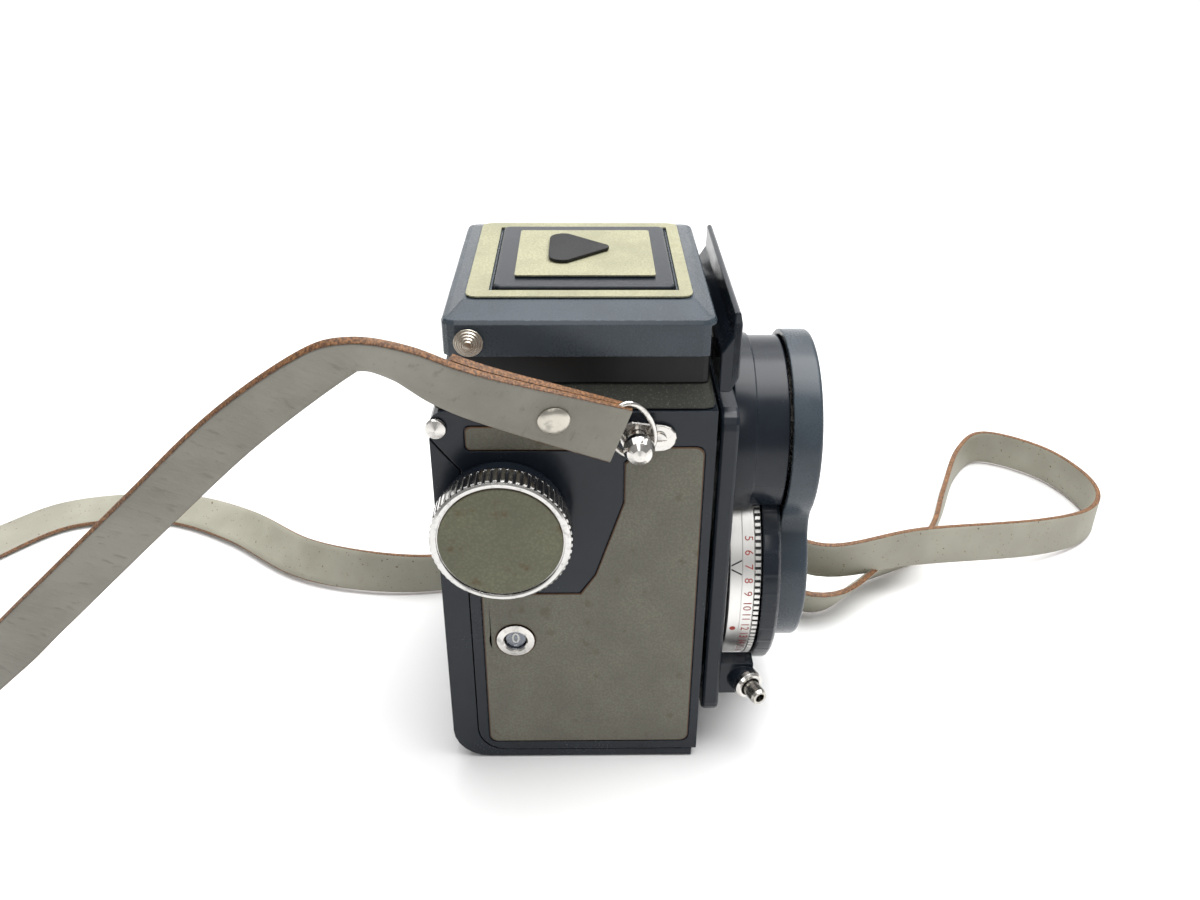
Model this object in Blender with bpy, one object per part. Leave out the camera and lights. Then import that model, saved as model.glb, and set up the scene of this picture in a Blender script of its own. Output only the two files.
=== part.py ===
"""A twin lens reflex camera for small roll film, with its neck strap.

Run with: blender --background --python part.py

The frame: +Z is up, -Y is the side of the two lenses, -X the side of the winding knob. The origin is on the
underside, under the middle of the body. Every size in this file is in millimetres; finish() turns a mesh that
was built in millimetres into an object in metres, with its origin where the piece is pivoted or centred.
"""

import math

import bmesh
import bpy
from mathutils import Matrix, Vector

METRE = 0.001  # one millimetre, in metres
GAP = 0.3  # between two pieces that touch on the real object

# Body
BODY_X = 34.0  # half width
BODY_FRONT = -29.8
BODY_REAR = 32.7
BODY_TOP = 101.0
WALL = 2.2
PANEL = 1.8  # wall of the back cover
BASE = 2.1  # thickness of the cover's bottom panel
SEAM_Y = 26.2  # rear end of the body's sides, where the back cover starts
REAR_ROUND = 9.0  # outer radius of the cover's lower rear corner
SKIN = 0.5  # leather covering

# Back cover hinge
HINGE_Y = 31.0
HINGE_Z = BODY_TOP - 3.8
HINGE_PIN = 0.9
HINGE_BARREL = 1.6

BUSH_Y = -12.0  # tripod bush

# Optical axes
TAKING_Z = 43.2
LENS_PITCH = 36.6  # from the taking lens up to the viewing lens
VIEWING_Z = TAKING_Z + LENS_PITCH

# Front standard
STANDARD_X = BODY_X - 3.0
STANDARD_BACK = -31.0
STANDARD_FRONT = -35.3
STANDARD_LOW = 11.0
STANDARD_TOP = BODY_TOP - 2.5
RAIL_R = 2.0
RAIL_X = BODY_X - 8.4
RAIL_LENGTH = 18.0

# Shutter and lens barrels, all turned about the optical axes
HUB_R = 26.0
FLANGE_R = 29.9
EV_RING_R = 28.8
EV_BACK = -36.2
EV_FRONT = -43.9
FLANGE_FRONT = -48.6
BARREL_R = 22.4
BARREL_STEP = 0.6
BARREL_STEP_Y = -41.0
CAP_R = BARREL_R + 1.5
CAP_BACK = -49.3
CAP_FRONT = -56.3
CAP_WALL = 1.4
BAYONET_R = 17.5
VIEW_TUBE_R = LENS_PITCH - FLANGE_R - GAP  # the viewing lens's rear tube, which passes over the shutter

# Winding knob and the spool that it turns
SPOOL_R = 8.0
GATE_HALF = 20.5
WIND_Y = 17.3
WIND_Z = TAKING_Z + GATE_HALF + SPOOL_R + 2.9  # the take-up spool clears the film gate
WIND_R = 15.7
WIND_FACE = BODY_X + 11.2  # distance of the knob's outer rim from the middle plane
SPOOL_X = BODY_X - 9.0
SUPPLY_Y = 4.0
SUPPLY_Z = BASE + SPOOL_R + 2.5

# Focusing knob
FOCUS_Y = -8.0
FOCUS_Z = 43.0
FOCUS_R = 13.0
FOCUS_FACE = BODY_X + 10.5

# Frame counter
COUNTER_Y = 15.8
COUNTER_Z = 38.6
COUNTER_R = 4.6

# Film gate
GATE_Y = 19.7

# Focusing hood
SEAT_TOP = BODY_TOP + 4.5
HOOD_X = BODY_X - 4.5
HOOD_Y = 28.1
HOOD_TOP = SEAT_TOP + 7.1
LID_X = BODY_X - 1.5
LID_Y = 28.9
LID_LOW = HOOD_TOP + 0.7
LID_EDGE = LID_LOW + 8.3
LID_TOP = LID_EDGE + 1.6
LID_SHEET = 1.2
LID_HINGE_Y = -26.4
LID_HINGE_Z = LID_LOW + 5.1
FLAP_Z = HOOD_TOP + 1.0
FLAP_LENGTH = 24.0
FLAP_SHEET = 0.8
FLAP_BARREL = 0.7
REAR_FLAP_Y = 25.6
REAR_FLAP_Z = HOOD_TOP + 3.0
REAR_FLAP_LENGTH = 17.0
FINDER_X = 20.6
FINDER_FRONT = -20.6
FINDER_REAR = 18.6
FINDER_TOP = LID_TOP + 1.2
LOUPE_Y = -2.8
LOUPE_Z = LID_LOW + 6.7

# Strap lugs
LUG_Y = -12.6
LUG_Z = BODY_TOP - 5.8
LUG_SCREW_Y = -17.2

# Shutter release, which points outwards and a little forwards
RELEASE_TURN = math.radians(24.0)
RELEASE_BASE = Vector((-28.0, -40.6, 22.0))
RELEASE_R = 2.1
RELEASE_SEAT = 3.2  # from the base point out to the collar


# Neck strap: the route of its middle, from the right lug round to the left one, chosen by hand. The last
# value of each point is the strap's lean in degrees: 0 stands on its edge, 90 lies flat.
STRAP_WIDTH = 13.0
STRAP_THICK = 1.8
STRAP_STEPS = 5
STRAP_ROUTE = (
    (-43.8, -8.4, 100.7, 0.0), (-48.0, 14.7, 110.0, 18.0), (-49.8, 25.1, 114.9, 26.0),
    (-50.8, 33.8, 120.2, 36.0), (-51.0, 42.3, 122.3, 41.0), (-50.2, 50.1, 119.1, 40.0),
    (-46.0, 70.3, 103.1, 32.0), (-42.6, 92.4, 82.1, 30.0), (-39.0, 122.3, 53.2, 24.0),
    (-36.0, 139.7, 36.4, 18.0), (-27.0, 160.0, 18.4, 10.0), (-8.0, 184.0, 7.6, 2.0),
    (18.0, 203.0, 7.0, 0.0), (43.0, 204.0, 6.0, 36.0), (61.0, 194.7, 2.9, 74.0),
    (76.6, 179.6, 2.7, 77.0), (81.8, 157.3, 2.7, 77.0), (79.0, 137.4, 3.1, 72.0),
    (66.8, 114.8, 4.2, 62.0), (47.4, 90.7, 5.6, 44.0), (38.4, 68.0, 6.7, 20.0),
    (37.0, 46.0, 6.8, 4.0), (43.0, 25.0, 6.8, 0.0), (51.4, 2.0, 6.8, 0.0), (46.5, -34.0, 7.0, -6.0),
    (21.6, -69.6, 6.4, -30.0), (36.9, -92.1, 6.2, -34.0), (51.8, -112.4, 6.8, -12.0),
    (75.4, -125.1, 6.8, 0.0), (104.3, -139.2, 6.8, 0.0), (116.8, -153.0, 6.8, 0.0),
    (103.8, -172.0, 6.8, 0.0), (81.0, -179.4, 6.8, 0.0), (64.5, -172.5, 6.8, 0.0),
    (52.9, -151.3, 8.8, -8.0), (36.2, -105.7, 16.8, -4.0), (29.9, -70.0, 17.0, 8.0),
    (46.0, -43.0, 30.0, 4.0), (53.0, -26.0, 66.0, 0.0), (44.5, -10.4, 99.0, 0.0),
)


# ---------------------------------------------------------------- materials

def material(name, color, roughness, metallic):
    made = bpy.data.materials.new(name)
    made.use_nodes = True
    shader = made.node_tree.nodes["Principled BSDF"]
    shader.inputs["Base Color"].default_value = (*color, 1.0)
    shader.inputs["Roughness"].default_value = roughness
    shader.inputs["Metallic"].default_value = metallic
    return made


def paint_grey(name):
    return material(name, (0.075, 0.095, 0.115), 0.35, 0.0)


def paint_dark(name):
    return material(name, (0.022, 0.027, 0.035), 0.35, 0.0)


def black(name):
    return material(name, (0.008, 0.008, 0.009), 0.7, 0.0)


def chrome(name):
    return material(name, (0.75, 0.74, 0.72), 0.2, 1.0)


def steel(name):
    return material(name, (0.55, 0.55, 0.54), 0.38, 1.0)


def leather_grey(name):
    return material(name, (0.16, 0.155, 0.12), 0.7, 0.0)


def glass(name):
    return material(name, (0.35, 0.38, 0.5), 0.05, 0.0)


# ---------------------------------------------------------------- shapes

def axis_point(axis, along, a, b):
    """The point at `along` on the named axis, with a and b on the two others in X, Y, Z order."""
    if axis == "X":
        return (along, a, b)
    if axis == "Y":
        return (a, along, b)
    return (a, b, along)


def prism(outline, axis, low, high):
    """The closed outline, given in the two other axes, extruded along an axis."""
    bm = bmesh.new()
    ring = [bm.verts.new(axis_point(axis, low, a, b)) for a, b in outline]
    face = bm.faces.new(ring)
    moved = bmesh.ops.extrude_face_region(bm, geom=[face])
    step = Vector(axis_point(axis, high - low, 0.0, 0.0))
    tops = [item for item in moved["geom"] if isinstance(item, bmesh.types.BMVert)]
    bmesh.ops.translate(bm, verts=tops, vec=step)
    bmesh.ops.recalc_face_normals(bm, faces=bm.faces)
    return bm


def box(x, y, z):
    outline = [(x[0], y[0]), (x[1], y[0]), (x[1], y[1]), (x[0], y[1])]
    return prism(outline, "Z", z[0], z[1])


def arc(centre, radius, start, end, steps):
    """Points on an arc, with its angles in degrees."""
    points = []
    for i in range(steps + 1):
        angle = math.radians(start + (end - start) * i / steps)
        points.append((centre[0] + radius * math.cos(angle), centre[1] + radius * math.sin(angle)))
    return points


def rounded_rectangle(a, b, radius, steps=3):
    points = []
    corners = ((a[1], b[0], 270.0), (a[1], b[1], 0.0), (a[0], b[1], 90.0), (a[0], b[0], 180.0))
    for end_a, end_b, start in corners:
        inside_a = end_a - math.copysign(radius, end_a - sum(a) / 2.0)
        inside_b = end_b - math.copysign(radius, end_b - sum(b) / 2.0)
        points += arc((inside_a, inside_b), radius, start, start + 90.0, steps)
    return points


def turned(profile, axis, centre, steps=28):
    """The closed profile of (radius, place along the axis) points, turned about an axis through the centre."""
    bm = bmesh.new()
    rings = []
    for radius, along in profile:
        count = steps if radius > 0.0 else 1
        rings.append([])
        for i in range(count):
            angle = math.tau * i / steps
            a = centre[0] + radius * math.cos(angle)
            b = centre[1] + radius * math.sin(angle)
            rings[-1].append(bm.verts.new(axis_point(axis, along, a, b)))
    for first, second in zip(rings, rings[1:] + rings[:1]):
        for i in range(steps):
            j = (i + 1) % steps
            if len(first) > 1 and len(second) > 1:
                bm.faces.new((first[i], first[j], second[j], second[i]))
            elif len(first) > 1:
                bm.faces.new((first[i], first[j], second[0]))
            elif len(second) > 1:
                bm.faces.new((first[0], second[j], second[i]))
    bmesh.ops.recalc_face_normals(bm, faces=bm.faces)
    return bm


def disc(radius, axis, centre, low, high, steps=28):
    return turned([(0.0, low), (radius, low), (radius, high), (0.0, high)], axis, centre, steps)


def tube(inner, outer, axis, centre, low, high, steps=28):
    return turned([(inner, low), (outer, low), (outer, high), (inner, high)], axis, centre, steps)


# ---------------------------------------------------------------- objects

def finish(name, bm, look, origin=(0.0, 0.0, 0.0), smooth=False):
    """Makes the object: its mesh in metres about the origin, and the object placed there."""
    bmesh.ops.translate(bm, verts=bm.verts, vec=-Vector(origin))
    bmesh.ops.scale(bm, verts=bm.verts, vec=(METRE, METRE, METRE))
    mesh = bpy.data.meshes.new(name)
    bm.to_mesh(mesh)
    bm.free()
    if smooth:
        mesh.shade_smooth()
        mesh.set_sharp_from_angle(angle=math.radians(35.0))
    made = bpy.data.objects.new(name, mesh)
    made.location = Vector(origin) * METRE
    if look:
        mesh.materials.append(look)
    bpy.context.scene.collection.objects.link(made)
    return made


def change(target, shapes, operation):
    """Joins each shape to the target or cuts it away, with the shape kept as a hidden guide."""
    for number, bm in enumerate(shapes):
        guide = finish(f"guide_{target.name}_{operation[0]}{number}", bm, None)
        guide.hide_render = True
        guide.display_type = "WIRE"
        modifier = target.modifiers.new(f"{operation.lower()}_{number}", "BOOLEAN")
        modifier.operation = operation
        modifier.solver = "EXACT"
        modifier.object = guide


def join(target, *shapes):
    change(target, shapes, "UNION")


def cut(target, *shapes):
    change(target, shapes, "DIFFERENCE")


def bevel(target, width, segments=2, angle=50.0):
    modifier = target.modifiers.new("bevel", "BEVEL")
    modifier.width = width * METRE
    modifier.segments = segments
    modifier.limit_method = "ANGLE"
    modifier.angle_limit = math.radians(angle)


def side_outline(front, low, rear, round_to):
    """The body's side, in Y and Z: straight at the front, stepped back at the top rear for the cover's hinge."""
    points = [(front, low)]
    points += arc((rear - round_to, low + round_to), round_to, 270.0, 360.0, 5)
    points += [(rear, BODY_TOP - 14.5), (29.3, BODY_TOP - 10.6), (32.4, BODY_TOP - 6.4)]
    points += arc((29.4, BODY_TOP - 3.0), 3.0, 0.0, 90.0, 4)
    points += [(front, BODY_TOP)]
    return points


def leather_outline(inset):
    """The side leather below the knob panel, in Y and Z; inset makes it smaller all round."""
    low, front, rear, top = 5.2 + inset, -27.4 + inset, 23.4 - inset, BODY_TOP - 8.8 - inset
    return (
        arc((front + 2.0, low + 2.0), 2.0, 180.0, 270.0, 3)
        + arc((rear - 2.0, low + 2.0), 2.0, 270.0, 360.0, 3)
        + [(rear, 52.5 - inset), (0.0 - inset, 52.5 - inset), (-3.6 - inset, 58.0), (-9.9 - inset, 78.0)]
        + [(-9.9 - inset, top - 4.0), (-14.0 - inset, top)]
        + arc((front + 2.0, top - 2.0), 2.0, 90.0, 180.0, 3)
    )


def strip_outline(inset):
    """The short leather strip above the winding knob."""
    return rounded_rectangle((-7.0 + inset, 24.9 - inset), (BODY_TOP - 9.4 + inset, BODY_TOP - 3.6 - inset), 1.2)


def rail_places():
    return [(x, z) for x in (-RAIL_X, RAIL_X) for z in (22.0, 88.0)]


def body_shell():
    inner = BODY_X - WALL
    shell = finish(
        "body_shell", prism(side_outline(BODY_FRONT, BASE + GAP, SEAM_Y, 7.0), "X", -BODY_X, BODY_X),
        paint_grey("body paint"),
    )
    rails = [disc(RAIL_R + GAP, "Y", place, BODY_FRONT - 1, BODY_FRONT + WALL + 1, 16) for place in rail_places()]
    cut(
        shell,
        box((-inner, inner), (BODY_FRONT + WALL, 40.0), (-1.0, BODY_TOP - WALL)),
        box((-22.5, 22.5), (-20.0, 23.0), (BODY_TOP - 5.0, BODY_TOP + 5.0)),
        disc(14.0, "Y", (0.0, VIEWING_Z), BODY_FRONT - 1.0, BODY_FRONT + WALL + 1.0),
        disc(14.6, "Y", (0.0, TAKING_Z), BODY_FRONT - 1.0, BODY_FRONT + WALL + 1.0),
        *rails,
    )
    for side in (-1.0, 1.0):
        face = side * BODY_X
        near, far = sorted((face - side * (SKIN + 0.1), face + side))
        cut(shell, prism(leather_outline(-GAP), "X", near, far))
        if side < 0:
            cut(shell, prism(strip_outline(-GAP), "X", near, far))
        through = sorted((face - side * (WALL + 1.0), face + side))
        cut(shell, disc(HINGE_PIN + GAP, "X", (HINGE_Y, HINGE_Z), *through, 16))
        cut(shell, disc(1.2, "X", (LUG_Y, LUG_Z), *through, 16))
    left = (BODY_X - WALL - 1.0, BODY_X + 1.0)
    right = (-left[1], -left[0])
    cut(
        shell,
        disc(3.0, "X", (WIND_Y, WIND_Z), *right, 20),
        disc(3.4, "X", (COUNTER_Y, COUNTER_Z), *right, 20),
        disc(2.6, "X", (FOCUS_Y, FOCUS_Z), *left, 20),
        disc(2.4, "X", (WIND_Y, WIND_Z), *left, 20),
        disc(2.4, "X", (SUPPLY_Y, SUPPLY_Z), *left, 20),
    )
    ears = [box(x, (BODY_FRONT - 1.9, BODY_FRONT + 0.5), (4.2, 7.0)) for x in ((-12.6, -10.4), (10.4, 12.6))]
    join(shell, *ears)
    cut(shell, disc(0.9, "X", (-30.9, 5.6), -13.0, 13.0, 12))
    return shell


def frustum_ring():
    """The sloped deck under the hood, open in the middle."""
    bm = bmesh.new()
    levels = (
        ((-BODY_X + 0.8, BODY_X - 0.8), (-29.4, 31.4), BODY_TOP + GAP),
        ((-29.9, 29.9), (-28.5, 28.6), SEAT_TOP),
    )
    outer = []
    for x, y, z in levels:
        outer.append([bm.verts.new((a, b, z)) for a, b in rounded_rectangle(x, y, 2.0, 2)])
    count = len(outer[0])
    for i in range(count):
        bm.faces.new((outer[0][i], outer[0][(i + 1) % count], outer[1][(i + 1) % count], outer[1][i]))
    bm.faces.new(outer[0])
    bm.faces.new(outer[1])
    bmesh.ops.recalc_face_normals(bm, faces=bm.faces)
    return bm


def top_deck():
    deck = finish("top_deck", frustum_ring(), material("deck leather", (0.03, 0.033, 0.026), 0.75, 0.0))
    cut(deck, box((-24.0, 24.0), (-22.0, 24.6), (BODY_TOP - 2.0, SEAT_TOP + 2.0)))


def leather_panels():
    for side, name in ((-1.0, "right"), (1.0, "left")):
        inner = side * (BODY_X - GAP)
        outer = side * (BODY_X + 0.15)
        low, high = sorted((inner, outer))
        look = leather_grey(f"{name} leather")
        panel = finish(f"side_leather_{name}", prism(leather_outline(0.0), "X", low, high), look)
        if side < 0:
            finish("leather_strip", prism(strip_outline(0.0), "X", low, high), look)
            cut(panel, disc(COUNTER_R + GAP, "X", (COUNTER_Y, COUNTER_Z), low - 1.0, high + 1.0, 24))
        else:
            cut(panel, disc(FOCUS_R * 0.5, "X", (FOCUS_Y, FOCUS_Z), low - 1.0, high + 1.0, 24))
            cut(panel, disc(4.4, "X", (SUPPLY_Y, SUPPLY_Z), low - 1.0, high + 1.0, 24))


def back_cover():
    seam = SEAM_Y + GAP
    outline = [(-28.6, 0.0)]
    outline += arc((BODY_REAR - REAR_ROUND, REAR_ROUND), REAR_ROUND, 270.0, 360.0, 6)
    outline += [(BODY_REAR, BODY_TOP - 6.6), (29.5, BODY_TOP - 11.0), (seam, BODY_TOP - 14.7)]
    outline += arc((seam - 7.0, BASE + 7.0), 7.0, 0.0, -90.0, 5)
    outline += [(-28.6, BASE)]
    cover = finish(
        "back_cover", prism(outline, "X", -BODY_X, BODY_X), paint_dark("cover paint"),
        (0.0, HINGE_Y, HINGE_Z),
    )
    low = BASE - 0.1
    bend = REAR_ROUND - low
    inner = [(12.0, low)]
    inner += arc((BODY_REAR - PANEL - bend, low + bend), bend, 270.0, 360.0, 6)
    inner += [(BODY_REAR - PANEL, BODY_TOP + 19.0), (12.0, BODY_TOP + 19.0)]
    cut(cover, prism(inner, "X", -BODY_X + PANEL, BODY_X - PANEL))
    for x in ((2.7 - BODY_X, 14.0 - BODY_X), (BODY_X - 14.0, BODY_X - 2.7)):
        web = box((x[0] + 0.4, x[1] - 0.4), (HINGE_Y - 1.0, HINGE_Y + 1.1), (HINGE_Z - 7.2, HINGE_Z - 0.3))
        join(cover, web, disc(HINGE_BARREL, "X", (HINGE_Y, HINGE_Z), *x, 20))
        cut(cover, disc(HINGE_PIN + GAP, "X", (HINGE_Y, HINGE_Z), x[0] - 1.0, x[1] + 1.0, 16))
    cut(cover, disc(5.0, "Z", (0.0, BUSH_Y), -1.0, 5.0, 24))


def hinge_screws():
    for side, name in ((-1.0, "right"), (1.0, "left")):
        profile = [(0.0, side * 22.0), (HINGE_PIN, side * 22.0), (HINGE_PIN, side * (BODY_X + GAP))]
        profile += [(2.4, side * (BODY_X + GAP)), (2.2, side * (BODY_X + 1.1)), (0.0, side * (BODY_X + 1.6))]
        finish(f"hinge_screw_{name}", turned(profile, "X", (HINGE_Y, HINGE_Z), 20), chrome(f"{name} screw"),
               smooth=True)


def back_fittings():
    plate = finish("pressure_plate", box((-24.0, 24.0), (22.4, 23.6), (24.5, 62.0)), black("pressure plate"))
    bow = [(23.2, 30.0), (30.6, 40.0), (30.6, 46.5), (23.2, 56.5), (23.2, 54.9), (29.9, 45.9), (29.9, 40.6),
           (23.2, 31.6)]
    join(plate, prism(bow, "X", -6.0, 6.0))
    profile = [(3.1, 0.15), (4.7, 0.15), (4.7, BASE + GAP), (7.5, BASE + GAP), (7.5, 3.4), (4.7, 3.4), (4.7, 5.8),
               (0.0, 5.8), (0.0, 4.8), (3.1, 4.8)]
    finish("tripod_bush", turned(profile, "Z", (0.0, BUSH_Y), 24), steel("tripod bush"), smooth=True)


def back_latch():
    latch = finish("back_latch", box((-10.1, 10.1), (-31.5, -30.3), (0.5, 6.6)), chrome("latch"),
                   (0.0, -30.9, 5.6))
    join(latch, box((-10.1, 10.1), (-31.0, -28.9), (0.5, 1.8)), disc(0.6, "X", (-30.9, 5.6), -12.4, 12.4, 12))


# ---------------------------------------------------------------- inside

def film_chamber():
    """The light box between the taking lens and the film gate."""
    bm = bmesh.new()
    rings = []
    for half, y in ((15.0, BODY_FRONT + WALL + GAP), (GATE_HALF + 1.9, GATE_Y - GAP), (GATE_HALF + 0.9, GATE_Y - GAP),
                    (14.0, BODY_FRONT + WALL + GAP)):
        corners = ((-half, -half), (half, -half), (half, half), (-half, half))
        rings.append([bm.verts.new((x, y, TAKING_Z + z)) for x, z in corners])
    for k in range(4):
        first, second = rings[k], rings[(k + 1) % 4]
        for i in range(4):
            bm.faces.new((first[i], first[(i + 1) % 4], second[(i + 1) % 4], second[i]))
    bmesh.ops.recalc_face_normals(bm, faces=bm.faces)
    inner = BODY_X - WALL - GAP
    chamber = finish("film_chamber", bm, black("film chamber"))
    join(chamber, box((-inner + 1.3, inner), (GATE_Y - 1.0, GATE_Y + 1.8),
                      (TAKING_Z - GATE_HALF - 2.7, TAKING_Z + GATE_HALF + 1.9)))
    cut(chamber, box((-GATE_HALF, GATE_HALF), (GATE_Y - 4.0, 40.0), (TAKING_Z - GATE_HALF, TAKING_Z + GATE_HALF)))
    for name, y, z in (("lower", 20.4, 17.2), ("upper", 24.0, 64.6)):
        profile = [(0.0, -inner), (0.8, -inner), (0.8, -24.5), (1.7, -24.5), (1.7, 24.5), (0.8, 24.5),
                   (0.8, inner), (0.0, inner)]
        finish(f"film_roller_{name}", turned(profile, "X", (y, z), 16), steel(f"{name} roller"), (0.0, y, z),
               smooth=True)


def mirror():
    """A mirror at 45 degrees on its carrier, which spans the body."""
    inner = BODY_X - WALL - GAP
    turn = Matrix.Rotation(math.radians(45.0), 3, "X")
    centre = Vector((0.0, 2.5, VIEWING_Z + 2.0))
    glass_plate = box((-20.0, 20.0), (-23.0, 23.0), (-1.2, 0.0))
    carrier = box((-inner, inner), (-21.5, 20.5), (-3.0, -1.5))
    for name, bm, look in (("mirror", glass_plate, steel("mirror")), ("mirror_carrier", carrier, black("carrier"))):
        bmesh.ops.rotate(bm, verts=bm.verts, cent=(0.0, 0.0, 0.0), matrix=turn)
        bmesh.ops.translate(bm, verts=bm.verts, vec=centre)
        finish(name, bm, look)


def focusing_screen():
    low = BODY_TOP + GAP
    frame = finish("screen_frame", box((-23.7, 23.7), (-21.7, 24.3), (low, low + 2.4)), black("screen frame"))
    cut(frame, box((-20.0, 20.0), (-18.5, 21.5), (0.0, 200.0)))
    cut(frame, box((-21.3, 21.3), (-19.8, 22.8), (low + 1.0, 200.0)))
    finish("focusing_screen", box((-21.0, 21.0), (-19.5, 22.5), (low + 1.3, low + 2.4)), glass("screen"))


def spool(name, y, z):
    shaft = 3.2
    profile = [(2.3, -SPOOL_X), (SPOOL_R, -SPOOL_X), (SPOOL_R, -SPOOL_X + 1.2), (shaft, -SPOOL_X + 1.2),
               (shaft, SPOOL_X - 1.2), (SPOOL_R, SPOOL_X - 1.2), (SPOOL_R, SPOOL_X), (2.3, SPOOL_X)]
    return finish(name, turned(profile, "X", (y, z), 24), steel(f"{name} metal"), (0.0, y, z), smooth=True)


def spools():
    spool("take_up_spool", WIND_Y, WIND_Z)
    supply = spool("supply_spool", SUPPLY_Y, SUPPLY_Z)
    join(supply, disc(2.6, "X", (SUPPLY_Y, SUPPLY_Z), 2.5 - BODY_X, 13.0 - BODY_X, 16))


# ---------------------------------------------------------------- knobs

def wind_knob():
    place = (WIND_Y, WIND_Z)
    origin = (0.0, WIND_Y, WIND_Z)
    foot = BODY_X + 0.5
    knob = finish("wind_knob", disc(WIND_R, "X", place, -WIND_FACE + 0.6, -foot - 4.0, 48), chrome("wind knob"), origin,
                  smooth=True)
    join(
        knob,
        turned([(0.0, -foot), (14.4, -foot), (14.9, -foot - 4.4), (0.0, -foot - 4.4)], "X", place, 36),
        turned([(0.0, -WIND_FACE + 1.6), (15.2, -WIND_FACE + 1.6), (15.2, -WIND_FACE + 0.4),
                (14.6, -WIND_FACE), (0.0, -WIND_FACE)], "X", place, 36),
        disc(2.4, "X", place, -foot - 1.0, 3.0 - BODY_X, 20),
        disc(2.0, "X", place, 2.0 - BODY_X, 13.5 - BODY_X, 16),
    )
    cut(knob, disc(14.1, "X", place, -WIND_FACE - 1.0, -WIND_FACE + 0.8, 36))
    finish("wind_knob_leather", disc(13.8, "X", place, -WIND_FACE - 0.25, -WIND_FACE + 0.5, 36),
           leather_grey("knob leather"), origin)


def focus_knob():
    place = (FOCUS_Y, FOCUS_Z)
    origin = (0.0, FOCUS_Y, FOCUS_Z)
    foot = BODY_X + 0.5
    knob = finish("focus_knob", disc(FOCUS_R, "X", place, foot + 3.6, FOCUS_FACE, 40), chrome("focus knob"), origin,
                  smooth=True)
    join(
        knob,
        turned([(0.0, foot), (11.6, foot), (12.2, foot + 4.0), (0.0, foot + 4.0)], "X", place, 36),
        disc(2.2, "X", place, 23.0, foot + 1.0, 20),
        disc(5.0, "X", (FOCUS_Y - 1.0, FOCUS_Z), 23.0, 26.0, 20),
    )
    cut(knob, disc(11.4, "X", place, FOCUS_FACE - 0.4, FOCUS_FACE + 1.0, 36))


def spool_knobs():
    for name, y, z in (("upper", WIND_Y, WIND_Z), ("lower", SUPPLY_Y, SUPPLY_Z)):
        foot = BODY_X + 0.45
        profile = [(0.0, 22.0), (2.0, 22.0), (2.0, foot), (4.0, foot), (4.0, foot + 2.6), (5.4, foot + 2.9),
                   (5.4, foot + 5.0), (4.6, foot + 5.6), (0.0, foot + 5.6)]
        finish(f"spool_knob_{name}", turned(profile, "X", (y, z), 28), chrome(f"{name} spool knob"), (0.0, y, z),
               smooth=True)


def counter():
    place = (COUNTER_Y, COUNTER_Z)
    profile = [(2.7, -BODY_X + 1.6), (2.7, -BODY_X - 0.5), (3.1, -BODY_X - 0.9), (COUNTER_R, -BODY_X - 0.45),
               (COUNTER_R, -BODY_X + 0.15 - SKIN), (3.1, -BODY_X + 0.15 - SKIN), (3.1, -BODY_X + 1.6)]
    finish("counter_bezel", turned(profile, "X", place, 28), chrome("counter bezel"), smooth=True)
    finish("counter_window", disc(2.4, "X", place, -BODY_X + 0.4, -BODY_X + 1.2, 24), glass("counter window"))
    finish("counter_dial", disc(7.5, "X", place, -BODY_X + 2.6, -BODY_X + 3.4, 32), material("dial", (0.01, 0.01, 0.01), 0.5, 0),
                  (0.0, COUNTER_Y, COUNTER_Z))


# ---------------------------------------------------------------- front

def lens_standard():
    plate = finish(
        "lens_standard",
        prism(rounded_rectangle((-STANDARD_X, STANDARD_X), (STANDARD_LOW, STANDARD_TOP), 4.0, 4), "Y",
              STANDARD_FRONT, STANDARD_BACK),
        paint_dark("standard paint"),
    )
    bevel(plate, 0.8, 2)
    cut(plate, disc(12.6, "Y", (0.0, VIEWING_Z), -60.0, 0.0, 32), disc(14.0, "Y", (0.0, TAKING_Z), -60.0, 0.0, 32))
    join(plate, *[disc(RAIL_R, "Y", place, STANDARD_BACK - 2.0, STANDARD_BACK + RAIL_LENGTH, 16)
                  for place in rail_places()])
    boss = release_shape([(0.0, -4.0), (3.7, -4.0), (3.7, RELEASE_SEAT), (0.0, RELEASE_SEAT)])
    join(plate, box((-29.4, -24.9), (EV_FRONT + GAP, STANDARD_FRONT + 1.0), (17.0, 26.6)), boss)
    cut(plate, release_shape([(0.0, -3.0), (RELEASE_R + GAP, -3.0), (RELEASE_R + GAP, 12.0), (0.0, 12.0)]))


def release_shape(profile, steps=24):
    """A profile turned about the shutter release's own axis, from its base outwards."""
    bm = turned(profile, "X", (0.0, 0.0), steps)
    turn = Matrix.Rotation(math.pi + RELEASE_TURN, 3, "Z")
    bmesh.ops.rotate(bm, verts=bm.verts, cent=(0.0, 0.0, 0.0), matrix=turn)
    bmesh.ops.translate(bm, verts=bm.verts, vec=RELEASE_BASE)
    return bm


def release():
    seat = RELEASE_SEAT + GAP
    collar = [(2.6, seat), (3.8, seat), (3.8, seat + 1.1), (3.3, seat + 1.7), (2.6, seat + 1.7)]
    finish("release_collar", release_shape(collar), chrome("release collar"), smooth=True)
    top = RELEASE_SEAT + 6.6
    button = [(0.0, 0.9), (RELEASE_R, 0.9), (RELEASE_R, top - 0.8), (1.8, top), (1.2, top), (1.2, top - 4.0),
              (0.0, top - 4.0)]
    finish("release_button", release_shape(button), steel("release button"), tuple(RELEASE_BASE), smooth=True)


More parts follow.
